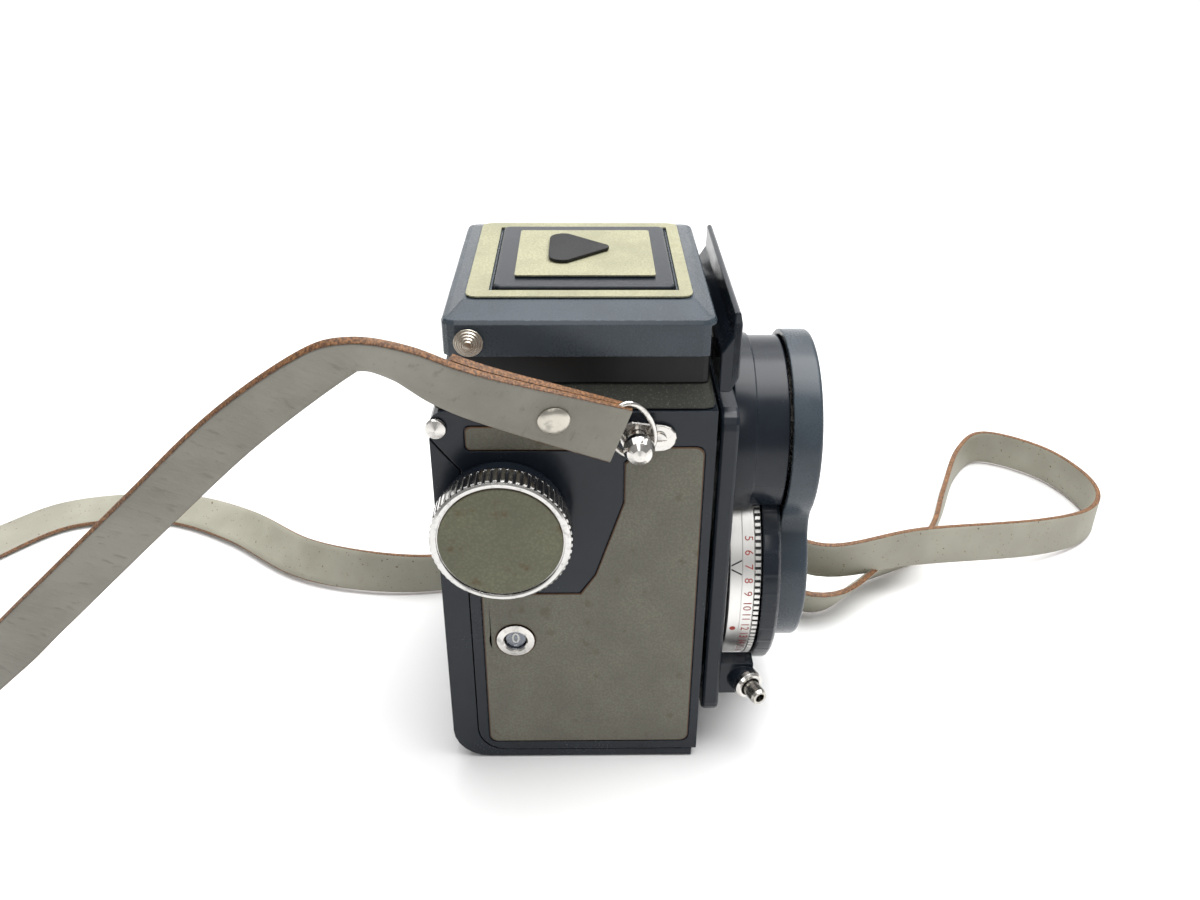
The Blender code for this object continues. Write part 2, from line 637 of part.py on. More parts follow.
def shutter():
    place = (0.0, TAKING_Z)
    profile = [(14.4, STANDARD_FRONT - GAP), (HUB_R, STANDARD_FRONT - GAP), (HUB_R, EV_FRONT - GAP),
               (FLANGE_R, EV_FRONT - GAP), (FLANGE_R, FLANGE_FRONT + 0.8), (FLANGE_R - 0.8, FLANGE_FRONT),
               (14.4, FLANGE_FRONT)]
    case = finish("shutter_case", turned(profile, "Y", place, 36), paint_dark("shutter paint"), smooth=True)
    cut(case, prism(sector(place, 23.3, 31.0, -60.0, -20.0, 8), "Y", -47.2, -45.4))
    profile = [(HUB_R + GAP, EV_BACK), (EV_RING_R, EV_BACK), (EV_RING_R, EV_FRONT), (HUB_R + GAP, EV_FRONT)]
    finish("light_value_ring", turned(profile, "Y", place, 36), chrome("light value ring"), (0.0, 0.0, TAKING_Z),
           smooth=True)


def barrel_cover():
    """The casting round the viewing lens, cut back below to let the shutter's ring pass."""
    place = (0.0, VIEWING_Z)
    back = STANDARD_FRONT - GAP
    wide = BARREL_R + BARREL_STEP
    profile = [(0.0, back), (wide, back), (wide, BARREL_STEP_Y), (BARREL_R, BARREL_STEP_Y), (BARREL_R, FLANGE_FRONT),
               (BARREL_R - 0.5, FLANGE_FRONT - GAP), (0.0, FLANGE_FRONT - GAP)]
    cover = finish("viewing_barrel", turned(profile, "Y", place, 36), paint_dark("barrel paint"), smooth=True)
    join(cover, box((1.4 - BARREL_R, BARREL_R - 1.4), (EV_FRONT + 0.5, back - 0.4), (VIEWING_Z - BARREL_R + 2.6, VIEWING_Z - 5.8)))
    cut(
        cover,
        disc(EV_RING_R + GAP, "Y", (0.0, TAKING_Z), EV_FRONT - GAP - 0.1, 0.0, 36),
        disc(FLANGE_R + GAP, "Y", (0.0, TAKING_Z), -60.0, EV_FRONT - GAP + 0.1, 36),
        disc(BARREL_R - 2.4, "Y", place, -60.0, -38.0, 36),
        disc(VIEW_TUBE_R + GAP, "Y", place, -60.0, 0.0, 32),
    )


def lenses():
    for name, z, rear_r, seat in (("viewing", VIEWING_Z, VIEW_TUBE_R, -36.4), ("taking", TAKING_Z, 13.7, -36.4)):
        place = (0.0, z)
        front = FLANGE_FRONT - 0.9
        if name == "viewing":
            profile = [(5.4, seat), (rear_r, seat), (rear_r, front), (BAYONET_R, front),
                       (BAYONET_R, front - 3.8), (13.2, front - 3.8), (11.2, front - 1.6), (5.4, front - 1.6)]
        else:
            profile = [(9.6, seat), (rear_r, seat), (rear_r, front), (BAYONET_R, front), (BAYONET_R, front - 3.8),
                       (13.2, front - 3.8), (11.2, front - 1.6), (9.6, front - 1.6)]
        finish(f"{name}_lens_mount", turned(profile, "Y", place, 36), steel(f"{name} mount"), smooth=True)
        dome = [(0.0, front + 0.9), (5.0, front + 0.9), (5.0, front - 1.9), (10.8, front - 1.9), (8.0, front - 2.7),
                (0.0, front - 3.3)]
        finish(f"{name}_front_glass", turned(dome, "Y", place, 32), glass(f"{name} glass"), smooth=True)


def front_fittings():
    socket = finish("flash_socket", tube(1.3, 2.6, "Y", (25.4, 18.0), -39.6, STANDARD_FRONT - GAP, 20),
                    chrome("flash socket"), smooth=True)
    join(socket, disc(0.5, "Y", (25.4, 18.0), -39.0, STANDARD_FRONT - GAP, 10),
         disc(2.2, "Y", (25.4, 18.0), -36.2, STANDARD_FRONT - GAP, 20))
    place = (0.0, TAKING_Z)
    lever = finish("cocking_lever", prism(sector(place, 23.6, 27.4, -36.0, -24.0, 4), "Y", -46.9, -45.7),
                   chrome("cocking lever"), (0.0, 0.0, TAKING_Z))
    arm = box((26.0, 34.0), (-46.8, -45.8), (-1.4, 1.4))
    tip = box((32.6, 35.2), (-50.5, -45.6), (-2.4, 2.4))
    for bm in (arm, tip):
        bmesh.ops.rotate(bm, verts=bm.verts, cent=(0, 0, 0), matrix=Matrix.Rotation(math.radians(30.0), 3, "Y"))
        bmesh.ops.translate(bm, verts=bm.verts, vec=(0.0, 0.0, TAKING_Z))
    join(lever, arm, tip)


def sector(centre, inner, outer, start, end, steps):
    """A piece of a flat ring between two angles."""
    return arc(centre, outer, start, end, steps) + arc(centre, inner, end, start, steps)


def cap_outline(radius, waist):
    """Two circles about the lens axes, with a concave waist of the given radius between them."""
    half = LENS_PITCH / 2.0
    middle = (VIEWING_Z + TAKING_Z) / 2.0
    reach = math.sqrt((radius + waist) ** 2 - half**2)
    lean = math.degrees(math.atan2(half, reach))
    right = arc((0.0, VIEWING_Z), radius, -lean, 180.0 + lean, 24)
    left_waist = arc((-reach, middle), waist, lean, -lean, 4)
    low = arc((0.0, TAKING_Z), radius, 180.0 - lean, 360.0 + lean, 24)
    right_waist = arc((reach, middle), waist, 180.0 + lean, 180.0 - lean, 4)
    return right + left_waist[1:-1] + low + right_waist[1:-1]


def lens_cap():
    cap = finish("lens_cap", prism(cap_outline(CAP_R, 8.0), "Y", CAP_FRONT, CAP_BACK), paint_grey("cap paint"))
    cut(cap, prism(cap_outline(CAP_R - CAP_WALL, 8.0 + CAP_WALL), "Y", CAP_FRONT + CAP_WALL, CAP_BACK + 2.0))


def apron():
    """The plate in front of the hood, whose side edges carry grooves."""
    back = -30.2
    outline = [(back, 2.4), (back - 2.6, 2.4), (back - 4.2, 6.0), (back - 4.2, 18.2), (back - 3.7, 20.6),
               (back - 3.0, 21.2), (back - 2.4, 20.6), (back - 2.3, 15.4), (back, 11.6)]
    outline = [(y, BODY_TOP + up) for y, up in outline]
    plate = finish("apron", prism(outline, "X", -29.6, 29.6), paint_dark("apron paint"))
    bevel(plate, 0.3, 1, 50.0)


# ---------------------------------------------------------------- hood

def hood_base():
    base = finish(
        "hood_base",
        prism(rounded_rectangle((-HOOD_X, HOOD_X), (-HOOD_Y, HOOD_Y), 1.5, 2), "Z", SEAT_TOP + GAP, HOOD_TOP),
        black("hood frame"),
    )
    cut(base, box((-27.6, 27.6), (-25.6, 26.4), (0.0, 200.0)))
    ears = [box(x, (LID_HINGE_Y - 1.0, LID_HINGE_Y + 1.2), (HOOD_TOP - 1.0, LID_HINGE_Z + 1.2))
            for x in ((-24.0, -20.0), (20.0, 24.0))]
    pads = [box(x, (-29.9, -27.0), (SEAT_TOP + 1.0, HOOD_TOP - 1.1)) for x in ((-18.0, -12.0), (12.0, 18.0))]
    height = (HOOD_TOP - 2.0, REAR_FLAP_Z - FLAP_BARREL - GAP)
    rests = [box(x, (25.2, 27.6), height) for x in ((-20.0, -14.0), (14.0, 20.0))]
    join(base, *ears, *pads, *rests)
    join(base, disc(0.6, "X", (LID_HINGE_Y, LID_HINGE_Z), -23.0, 23.0, 16))


def lid_solid(grow, low, lift):
    """The lid's outer form, crowned towards the leather; grow makes it larger all round."""
    bm = bmesh.new()
    levels = (
        (LID_X + grow, LID_Y + grow, low),
        (LID_X + grow, LID_Y + grow, LID_EDGE - 1.2 + lift),
        (LID_X - 0.5 + grow, LID_Y - 0.5 + grow, LID_EDGE - 0.3 + lift),
        (LID_X - 1.6 + grow, LID_Y - 1.6 + grow, LID_EDGE + lift),
        (25.4 + grow, 24.6 + grow, LID_TOP + lift),
    )
    rings = []
    for half_x, half_y, z in levels:
        corner = max(0.8, 3.0 + half_x - LID_X)
        points = rounded_rectangle((-half_x, half_x), (-half_y, half_y), corner, 3)
        rings.append([bm.verts.new((x, y, z)) for x, y in points])
    count = len(rings[0])
    for first, second in zip(rings, rings[1:]):
        for i in range(count):
            bm.faces.new((first[i], first[(i + 1) % count], second[(i + 1) % count], second[i]))
    bm.faces.new(rings[0])
    bm.faces.new(rings[-1])
    bmesh.ops.recalc_face_normals(bm, faces=bm.faces)
    return bm


def hood_lid():
    hinge = (0.0, LID_HINGE_Y, LID_HINGE_Z)
    lid = finish("hood_lid", lid_solid(0.0, LID_LOW, 0.0), paint_grey("lid paint"), hinge)
    cut(
        lid,
        lid_solid(-LID_SHEET, LID_LOW - 5.0, -LID_SHEET),
        box((-LID_X - 1.0, LID_X + 1.0), (-LID_Y - 1.0, -LID_Y + 1.4), (0.0, LID_EDGE - 1.6)),
        box((-FINDER_X - GAP, FINDER_X + GAP), (FINDER_FRONT - GAP, FINDER_REAR + GAP), (LID_LOW - 13.3, LID_TOP + 16.8)),
    )
    lugs = []
    for x in ((-18.6, -15.0), (15.0, 18.6)):
        lugs.append(box(x, (LID_HINGE_Y - 1.2, LID_HINGE_Y + 1.2), (LID_HINGE_Z, LID_EDGE - 0.5)))
        lugs.append(disc(1.3, "X", (LID_HINGE_Y, LID_HINGE_Z), *x, 16))
    join(lid, *lugs)
    cut(lid, disc(0.9, "X", (LID_HINGE_Y, LID_HINGE_Z), -19.0, 19.0, 16))
    finder = finish(
        "finder_flap",
        prism(rounded_rectangle((-FINDER_X, FINDER_X), (FINDER_FRONT, FINDER_REAR), 1.4, 2), "Z",
              LID_TOP - 1.2, FINDER_TOP),
        paint_dark("finder paint"),
    )
    bevel(finder, 0.5, 2)
    for x in ((-14.0, -12.0), (12.0, 14.0)):
        join(finder, box(x, (LOUPE_Y - 1.4, LOUPE_Y + 1.4), (LOUPE_Z - 1.4, LID_TOP)))
    cut(finder, disc(0.9, "X", (LOUPE_Y, LOUPE_Z), -15.0, 15.0, 12))
    frame = finish(
        "lid_leather", prism(rounded_rectangle((-25.0, 25.0), (-24.2, 24.2), 2.4, 3), "Z", LID_TOP + GAP,
                             LID_TOP + GAP + 0.3),
        leather_grey("lid leather"),
    )
    cut(frame, box((-FINDER_X - 0.8, FINDER_X + 0.8), (FINDER_FRONT - 0.8, FINDER_REAR + 0.8), (LID_LOW - 13.3, LID_TOP + 16.8)))
    insert = rounded_rectangle((-15.5, 15.5), (FINDER_FRONT + 3.9, FINDER_REAR - 4.4), 0.6, 2)
    finish("finder_leather", prism(insert, "Z", FINDER_TOP + GAP, FINDER_TOP + GAP + 0.3),
           leather_grey("finder leather"))
    finish("lid_badge", prism(badge_outline((1.0, 0.4)), "Z", FINDER_TOP + 2 * GAP + 0.3, FINDER_TOP + 2 * GAP + 0.9),
           paint_dark("badge"))
    for side, name in ((-1.0, "right"), (1.0, "left")):
        profile = [(0.0, LID_X + GAP), (3.1, LID_X + GAP)]
        profile += [(3.1 - 0.5 * i - 0.12 * (i % 2), LID_X + GAP + 0.35 * (i + 1)) for i in range(5)]
        profile += [(0.0, LID_X + GAP + 2.1)]
        profile = [(radius, side * along) for radius, along in profile]
        finish(f"hood_grip_{name}", turned(profile, "X", (23.1, LID_LOW + 3.3), 24), chrome(f"{name} grip"), smooth=True)


def badge_outline(centre):
    """A triangle with bowed sides and rounded corners, its point towards the front."""
    x, y = centre
    points = arc((x, y - 5.2), 2.0, 200.0, 340.0, 4)
    points += arc((x + 6.2, y + 3.4), 3.2, -20.0, 90.0, 4)
    points += arc((x - 6.2, y + 3.4), 3.2, 90.0, 200.0, 4)
    return points


def flap_outline():
    """A side flap, in Y and its own height: cut back at the front, slanted at the rear."""
    rear = 24.6
    return [(-24.0, 0.0), (rear, 0.0), (rear - 0.76 * FLAP_LENGTH, FLAP_LENGTH), (-15.5, FLAP_LENGTH), (-24.0, 13.0)]


def hood_flaps():
    hinge_x = HOOD_X - 1.0
    for side, name in ((-1.0, "right"), (1.0, "left")):
        outline = [(side * (hinge_x - height), y) for y, height in flap_outline()]
        flap = finish(
            f"hood_flap_{name}", prism(outline, "Z", FLAP_Z - FLAP_SHEET / 2.0, FLAP_Z + FLAP_SHEET / 2.0),
            black(f"{name} flap"), (side * hinge_x, 0.0, FLAP_Z),
        )
        join(flap, disc(FLAP_BARREL, "Y", (side * hinge_x, FLAP_Z), -24.0, 24.6, 12))
    half = 26.5
    low = REAR_FLAP_Z - FLAP_SHEET / 2.0
    outline = [(-half, REAR_FLAP_Y), (half, REAR_FLAP_Y), (half - 3.0, REAR_FLAP_Y - REAR_FLAP_LENGTH),
               (-half + 3.0, REAR_FLAP_Y - REAR_FLAP_LENGTH)]
    rear = finish("hood_flap_rear", prism(outline, "Z", low, low + FLAP_SHEET), black("rear flap"),
                  (0.0, REAR_FLAP_Y, REAR_FLAP_Z))
    join(rear, disc(FLAP_BARREL, "X", (REAR_FLAP_Y, REAR_FLAP_Z), -half, half, 12))


def magnifier():
    """The loupe under the finder flap, with its trunnions in the flap's two posts."""
    pivot = (0.0, LOUPE_Y, LOUPE_Z)
    frame = finish("magnifier_frame", box((-10.4, 10.4), (LOUPE_Y - 1.0, 18.0), (LOUPE_Z - 2.6, LOUPE_Z - 1.0)), black("loupe frame"),
                   pivot)
    join(frame, box((-10.4, 10.4), (LOUPE_Y - 1.0, LOUPE_Y + 1.0), (LOUPE_Z - 2.0, LOUPE_Z + 1.0)),
         disc(0.6, "X", (LOUPE_Y, LOUPE_Z), -13.6, 13.6, 12))
    cut(frame, disc(8.6, "Z", (0.0, 8.4), LOUPE_Z - 20.0, LOUPE_Z + 20.0, 32))
    profile = [(0.0, -2.5), (6.0, -2.3), (8.3, -2.0), (8.3, -1.5), (6.0, -1.0), (0.0, -0.6)]
    profile = [(radius, LOUPE_Z + up) for radius, up in profile]
    finish("magnifier_lens", turned(profile, "Z", (0.0, 8.4), 28), glass("loupe"), pivot, smooth=True)


# ---------------------------------------------------------------- strap fittings

def lugs():
    for side, name in ((-1.0, "right"), (1.0, "left")):
        low, high = sorted((side * (BODY_X + GAP), side * (BODY_X + 1.2)))
        outline = arc((LUG_Y, LUG_Z), 4.1, -70.0, 70.0, 8) + arc((LUG_SCREW_Y - 0.6, LUG_Z - 0.2), 3.2, 100.0, 260.0, 6)
        plate = finish(f"lug_plate_{name}", prism(outline, "X", low, high), chrome(f"{name} lug plate"))
        bevel(plate, 0.25, 1)
        cut(plate, disc(1.2, "X", (LUG_Y, LUG_Z), low - 1.0, high + 1.0, 16))
        stud = [(0.0, -1.6), (0.9, -1.6), (0.9, 1.5), (2.1, 1.5), (2.1, 3.0), (1.5, 3.4), (1.5, 4.6),
                (3.3, 5.0), (3.4, 6.6), (2.7, 8.2), (1.4, 9.1), (0.0, 9.4)]
        stud = [(radius, side * (BODY_X + out)) for radius, out in stud]
        finish(f"lug_stud_{name}", turned(stud, "X", (LUG_Y, LUG_Z), 24), chrome(f"{name} lug stud"), smooth=True)
        screw = [(0.0, side * (BODY_X + 0.5)), (1.7, side * (BODY_X + 0.5)), (1.6, side * (BODY_X + 2.0)),
                 (0.0, side * (BODY_X + 2.1))]
        join(plate, turned(screw, "X", (LUG_SCREW_Y, LUG_Z - 0.2), 20))
        slot = sorted((side * (BODY_X + 1.7), side * (BODY_X + 3.0)))
        cut(plate, box(slot, (LUG_SCREW_Y - 3.0, LUG_SCREW_Y + 3.0), (LUG_Z - 0.4, LUG_Z)))


def between(points, steps):
    """A smooth curve through the points: Catmull-Rom, with the given number of steps from each to the next."""
    padded = [points[0], *points, points[-1]]
    curve = []
    for before, start, end, after in zip(padded, padded[1:], padded[2:], padded[3:]):
        for i in range(steps):
            t = i / steps
            row = []
            for p, q, r, s in zip(before, start, end, after):
                bend = (2.0 * p - 5.0 * q + 4.0 * r - s) * t * t + (3.0 * q - p - 3.0 * r + s) * t**3
                row.append((2.0 * q + (r - p) * t + bend) / 2.0)
            curve.append(row)
    curve.append(list(points[-1]))
    return curve


def neck_strap():
    """A flat leather band: a rectangle carried along the route and turned by each point's lean."""
    curve = between(STRAP_ROUTE, STRAP_STEPS)
    bm = bmesh.new()
    rings = []
    for i, point in enumerate(curve):
        before = Vector(curve[max(i - 1, 0)][:3])
        after = Vector(curve[min(i + 1, len(curve) - 1)][:3])
        along = (after - before).normalized()
        flat = along.cross(Vector((0.0, 0.0, 1.0))).normalized()
        upright = flat.cross(along).normalized()
        lean = math.radians(point[3])
        width = upright * math.cos(lean) - flat * math.sin(lean)
        thick = along.cross(width).normalized()
        ring = []
        for a, b in ((-1, -1), (1, -1), (1, 1), (-1, 1)):
            corner = Vector(point[:3]) + width * (a * STRAP_WIDTH / 2.0) + thick * (b * STRAP_THICK / 2.0)
            ring.append(bm.verts.new(corner))
        rings.append(ring)
    for first, second in zip(rings, rings[1:]):
        for i in range(4):
            bm.faces.new((first[i], first[(i + 1) % 4], second[(i + 1) % 4], second[i]))
    bm.faces.new(rings[0])
    bm.faces.new(rings[-1])
    bmesh.ops.recalc_face_normals(bm, faces=bm.faces)
    finish("neck_strap", bm, material("strap leather", (0.24, 0.23, 0.19), 0.7, 0.0))


# ---------------------------------------------------------------- build

def build():
    for old in list(bpy.data.objects):
        bpy.data.objects.remove(old, do_unlink=True)
    body_shell()
    top_deck()
    leather_panels()
    back_cover()
    hinge_screws()
    back_fittings()
    back_latch()
    film_chamber()
    mirror()
    focusing_screen()
    spools()
    wind_knob()
    focus_knob()
    spool_knobs()
    counter()
    lens_standard()
    release()
    shutter()
    barrel_cover()
    lenses()
    front_fittings()
    lens_cap()
    apron()
    hood_base()
    hood_lid()
    hood_flaps()
    magnifier()
    lugs()
    neck_strap()


build()
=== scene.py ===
"""The looks of a twin lens reflex camera with its neck strap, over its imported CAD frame."""

import math

import bmesh
import bpy
from mathutils import Matrix, Vector


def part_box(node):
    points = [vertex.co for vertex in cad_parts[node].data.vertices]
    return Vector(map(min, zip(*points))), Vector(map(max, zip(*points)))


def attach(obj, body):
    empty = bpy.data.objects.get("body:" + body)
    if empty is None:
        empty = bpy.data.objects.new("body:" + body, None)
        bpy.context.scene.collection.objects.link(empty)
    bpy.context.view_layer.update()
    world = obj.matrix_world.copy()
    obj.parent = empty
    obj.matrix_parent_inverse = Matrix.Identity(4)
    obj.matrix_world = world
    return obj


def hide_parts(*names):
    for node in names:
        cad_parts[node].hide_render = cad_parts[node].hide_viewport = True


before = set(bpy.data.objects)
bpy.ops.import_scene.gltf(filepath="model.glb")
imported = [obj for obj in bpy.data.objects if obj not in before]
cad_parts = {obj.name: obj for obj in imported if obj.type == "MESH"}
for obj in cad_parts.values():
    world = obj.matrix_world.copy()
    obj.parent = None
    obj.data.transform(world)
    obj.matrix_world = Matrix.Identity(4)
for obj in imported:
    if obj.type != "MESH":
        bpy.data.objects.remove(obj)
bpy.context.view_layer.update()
MM = 0.001


# ---------------------------------------------------------------- camera
# The view from the winding-knob side, thirty degrees above the table.

def place_camera():
    pitch, yaw, roll = 0.518, -0.017, 0.006
    forward = Vector((math.cos(pitch) * math.cos(yaw), math.cos(pitch) * math.sin(yaw), -math.sin(pitch)))
    right = forward.cross(Vector((0.0, 0.0, 1.0))).normalized()
    up = right.cross(forward)
    side = right * math.cos(roll) + up * math.sin(roll)
    top = up * math.cos(roll) - right * math.sin(roll)
    data = bpy.data.cameras.new("camera")
    data.lens = 31.93
    data.clip_start = 0.01
    camera = bpy.data.objects.new("camera", data)
    camera.matrix_world = Matrix((side, top, -forward)).transposed().to_4x4()
    camera.location = Vector((-236.1, -0.96, 206.8)) * MM
    bpy.context.scene.collection.objects.link(camera)
    bpy.context.scene.camera = camera


place_camera()


# ---------------------------------------------------------------- neck strap
# One long leather band, grey on its faces and raw brown on its cut edges. It hangs from a wire hook on
# each lug. It is swept along the CAD solid's own route.

class Field:
    """A value in a material's node tree. Arithmetic on it makes Math nodes."""

    def __init__(self, tree, socket):
        self.tree = tree
        self.socket = socket

    def node(self, kind, inputs, output=0, **settings):
        """A new node of that kind, with its inputs given by name or number; returns the output as a Field."""
        made = self.tree.nodes.new(kind)
        for name, value in settings.items():
            setattr(made, name, value)
        for key, value in inputs.items():
            if isinstance(value, Field):
                self.tree.links.new(value.socket, made.inputs[key])
            else:
                made.inputs[key].default_value = value
        return Field(self.tree, made.outputs[output])

    def math(self, operation, other=0.0, clamp=False):
        return self.node("ShaderNodeMath", {0: self, 1: other}, operation=operation, use_clamp=clamp)

    def __add__(self, other):
        return self.math("ADD", other)

    def __sub__(self, other):
        return self.math("SUBTRACT", other)

    def __mul__(self, other):
        return self.math("MULTIPLY", other)

    def above(self, low, high):
        """0 below low and 1 above high, with a smooth step between."""
        return self.node("ShaderNodeMapRange", {"Value": self, "From Min": low, "From Max": high},
                         interpolation_type="SMOOTHSTEP")

    def mix(self, first, second):
        """The first colour where this is 0, and the second where it is 1."""
        colours = {}
        for key, colour in (("A", first), ("B", second)):
            colours[key] = colour if isinstance(colour, Field) else (*colour, 1.0)
        made = self.tree.nodes.new("ShaderNodeMix")
        made.data_type = "RGBA"
        self.tree.links.new(self.socket, made.inputs[0])
        for key, index in (("A", 6), ("B", 7)):
            if isinstance(colours[key], Field):
                self.tree.links.new(colours[key].socket, made.inputs[index])
            else:
                made.inputs[index].default_value = colours[key]
        return Field(self.tree, made.outputs[2])

    def noise(self, size, detail=4.0, stretch=(1.0, 1.0, 1.0)):
        """Fractal noise whose lumps are about `size` metres across; this Field is the place."""
        place = self.node("ShaderNodeVectorMath", {0: self, 1: stretch}, operation="MULTIPLY")
        return self.node("ShaderNodeTexNoise", {"Vector": place, "Scale": 1.0 / size, "Detail": detail})

    def cells(self, size, feature="F1"):
        return self.node("ShaderNodeTexVoronoi", {"Vector": self, "Scale": 1.0 / size}, feature=feature)


class Look:
    """A material under construction: its coordinates in metres, its Principled BSDF and its stacked bumps."""

    def __init__(self, name, roughness, metallic=0.0, round_edges=0.25, **constants):
        self.material = bpy.data.materials.new(name)
        self.material.use_nodes = True
        tree = self.material.node_tree
        self.bsdf = tree.nodes["Principled BSDF"]
        self.bsdf.inputs["Roughness"].default_value = roughness
        self.bsdf.inputs["Metallic"].default_value = metallic
        for key, value in constants.items():
            self.bsdf.inputs[key.replace("_", " ")].default_value = value
        coordinates = tree.nodes.new("ShaderNodeTexCoord")
        self.place = Field(tree, coordinates.outputs["Object"])
        self.normal = None
        self.edge = None
        if round_edges:
            self.normal = self.place.node("ShaderNodeBevel", {"Radius": round_edges * MM}, samples=4)
            flat = self.place.node("ShaderNodeNewGeometry", {}, "Normal")
            facing = self.place.node("ShaderNodeVectorMath", {0: self.normal, 1: flat}, "Value",
                                     operation="DOT_PRODUCT")
            turned_away = {"Value": facing, "From Min": 0.995, "From Max": 0.9}
            self.edge = facing.node("ShaderNodeMapRange", turned_away)

    def attribute(self, name):
        return self.place.node("ShaderNodeAttribute", {}, "Fac", attribute_name=name)

    def bump(self, height, depth):
        """Adds relief: height 1 stands `depth` metres above height 0."""
        inputs = {"Height": height, "Distance": depth, "Strength": 1.0}
        if self.normal:
            inputs["Normal"] = self.normal
        self.normal = height.node("ShaderNodeBump", inputs)

    def finish(self, colour, roughness=None, metallic=None):
        """Joins the varying values to the BSDF and returns the material."""
        tree = self.material.node_tree
        for key, value in (("Base Color", colour), ("Roughness", roughness), ("Metallic", metallic),
                           ("Normal", self.normal)):
            if isinstance(value, Field):
                tree.links.new(value.socket, self.bsdf.inputs[key])
        return self.material


def add(name, bm, look, body, *nodes, smooth=True):
    """Adds the mesh, which stands for the named CAD nodes and rides on a body."""
    for face in bm.faces:
        face.smooth = smooth
    mesh = bpy.data.meshes.new(name)
    bm.to_mesh(mesh)
    bm.free()
    mesh.materials.append(look)
    piece = bpy.data.objects.new(name, mesh)
    bpy.context.scene.collection.objects.link(piece)
    if smooth:
        mesh.set_sharp_from_angle(angle=math.radians(38.0))
    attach(piece, body)
    if nodes:
        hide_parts(*nodes)
    return piece


# The route's points in millimetres. The last value is the strap's lean: 0 stands on edge, 90 lies flat.
STRAP_ROUTE = (
    (-43.8, -8.4, 100.7, 0.0), (-48.0, 14.7, 110.0, 18.0), (-49.8, 25.1, 114.9, 26.0),
    (-50.8, 33.8, 120.2, 36.0), (-51.0, 42.3, 122.3, 41.0), (-50.2, 50.1, 119.1, 40.0),
    (-46.0, 70.3, 103.1, 32.0), (-42.6, 92.4, 82.1, 30.0), (-39.0, 122.3, 53.2, 24.0),
    (-36.0, 139.7, 36.4, 18.0), (-27.0, 160.0, 18.4, 10.0), (-8.0, 184.0, 7.6, 2.0),
    (18.0, 203.0, 7.0, 0.0), (43.0, 204.0, 6.0, 36.0), (61.0, 194.7, 2.9, 74.0),
    (76.6, 179.6, 2.7, 77.0), (81.8, 157.3, 2.7, 77.0), (79.0, 137.4, 3.1, 72.0),
    (66.8, 114.8, 4.2, 62.0), (47.4, 90.7, 5.6, 44.0), (38.4, 68.0, 6.7, 20.0),
    (37.0, 46.0, 6.8, 4.0), (43.0, 25.0, 6.8, 0.0), (51.4, 2.0, 6.8, 0.0), (46.5, -34.0, 7.0, -6.0),
    (21.6, -69.6, 6.4, -30.0), (36.9, -92.1, 6.2, -34.0), (51.8, -112.4, 6.8, -12.0),
    (75.4, -125.1, 6.8, 0.0), (104.3, -139.2, 6.8, 0.0), (116.8, -153.0, 6.8, 0.0),
    (103.8, -172.0, 6.8, 0.0), (81.0, -179.4, 6.8, 0.0), (64.5, -172.5, 6.8, 0.0),
    (52.9, -151.3, 8.8, -8.0), (36.2, -105.7, 16.8, -4.0), (29.9, -70.0, 17.0, 8.0),
    (46.0, -43.0, 30.0, 4.0), (53.0, -26.0, 66.0, 0.0), (44.5, -10.4, 99.0, 0.0),
)
STRAP_WIDTH = 13.0
STRAP_THICK = 1.8


def between(points, steps):
    """A Catmull-Rom curve through the points."""
    padded = [points[0], *points, points[-1]]
    curve = []
    for before, start, end, after in zip(padded, padded[1:], padded[2:], padded[3:]):
        for i in range(steps):
            t = i / steps
            row = []
            for p, q, r, s in zip(before, start, end, after):
                bend = (2.0 * p - 5.0 * q + 4.0 * r - s) * t * t + (3.0 * q - p - 3.0 * r + s) * t**3
                row.append((2.0 * q + (r - p) * t + bend) / 2.0)
            curve.append(row)
    curve.append(list(points[-1]))
    return curve


def strap_frames(curve):
    """At each point of the curve: the place, and the directions along, across and through the band."""
    frames = []
    for i, point in enumerate(curve):
        before = Vector(curve[max(i - 1, 0)][:3])
        after = Vector(curve[min(i + 1, len(curve) - 1)][:3])
        along = (after - before).normalized()
        flat = along.cross(Vector((0.0, 0.0, 1.0))).normalized()
        upright = flat.cross(along).normalized()
        lean = math.radians(point[3])
        width = upright * math.cos(lean) - flat * math.sin(lean)
        frames.append((Vector(point[:3]), along, width, along.cross(width).normalized()))
    return frames


def strap_look():
    look = Look("strap leather", 0.6, round_edges=0.0)
    rim = look.attribute("rim")
    across = look.attribute("across")
    along = look.attribute("along")
    creased = look.attribute("creased")
    place = along.node("ShaderNodeCombineXYZ", {0: along, 1: across, 2: rim * 0.1})
    broad = look.place.noise(16 * MM, 4.0).above(0.3, 0.7)
    grey = broad.mix((0.17, 0.16, 0.13), (0.225, 0.215, 0.18))
    pale = broad.mix((0.25, 0.24, 0.19), (0.31, 0.3, 0.24))
    base = creased.mix(pale, grey)
    specks = look.place.noise(0.9 * MM, 6.0).above(0.66, 0.7)
    base = (specks * (creased * -0.8 + 1.0)).mix(base, (0.09, 0.05, 0.025))
    wrinkle = place.noise(5.0 * MM, 5.0, (2.4, 0.9, 1.0))
    # Painted shade: the hollows of the wrinkles on the creased stretch are darkened.
    base = (wrinkle.above(0.42, 0.3) * creased * 0.4).mix(base, (0.1, 0.09, 0.07))
    fibre = look.place.noise(0.5 * MM, 6.0)
    brown = fibre.above(0.35, 0.7).mix((0.07, 0.03, 0.012), (0.26, 0.12, 0.045))
    ragged = rim + (look.place.noise(1.2 * MM, 5.0) - 0.5) * 0.5
    base = ragged.above(0.42, 0.56).mix(base, brown)
    look.bump(wrinkle * creased, 0.28 * MM)
    look.bump(fibre, 0.06 * MM)
    return look.finish(base, broad * 0.12 + 0.52)


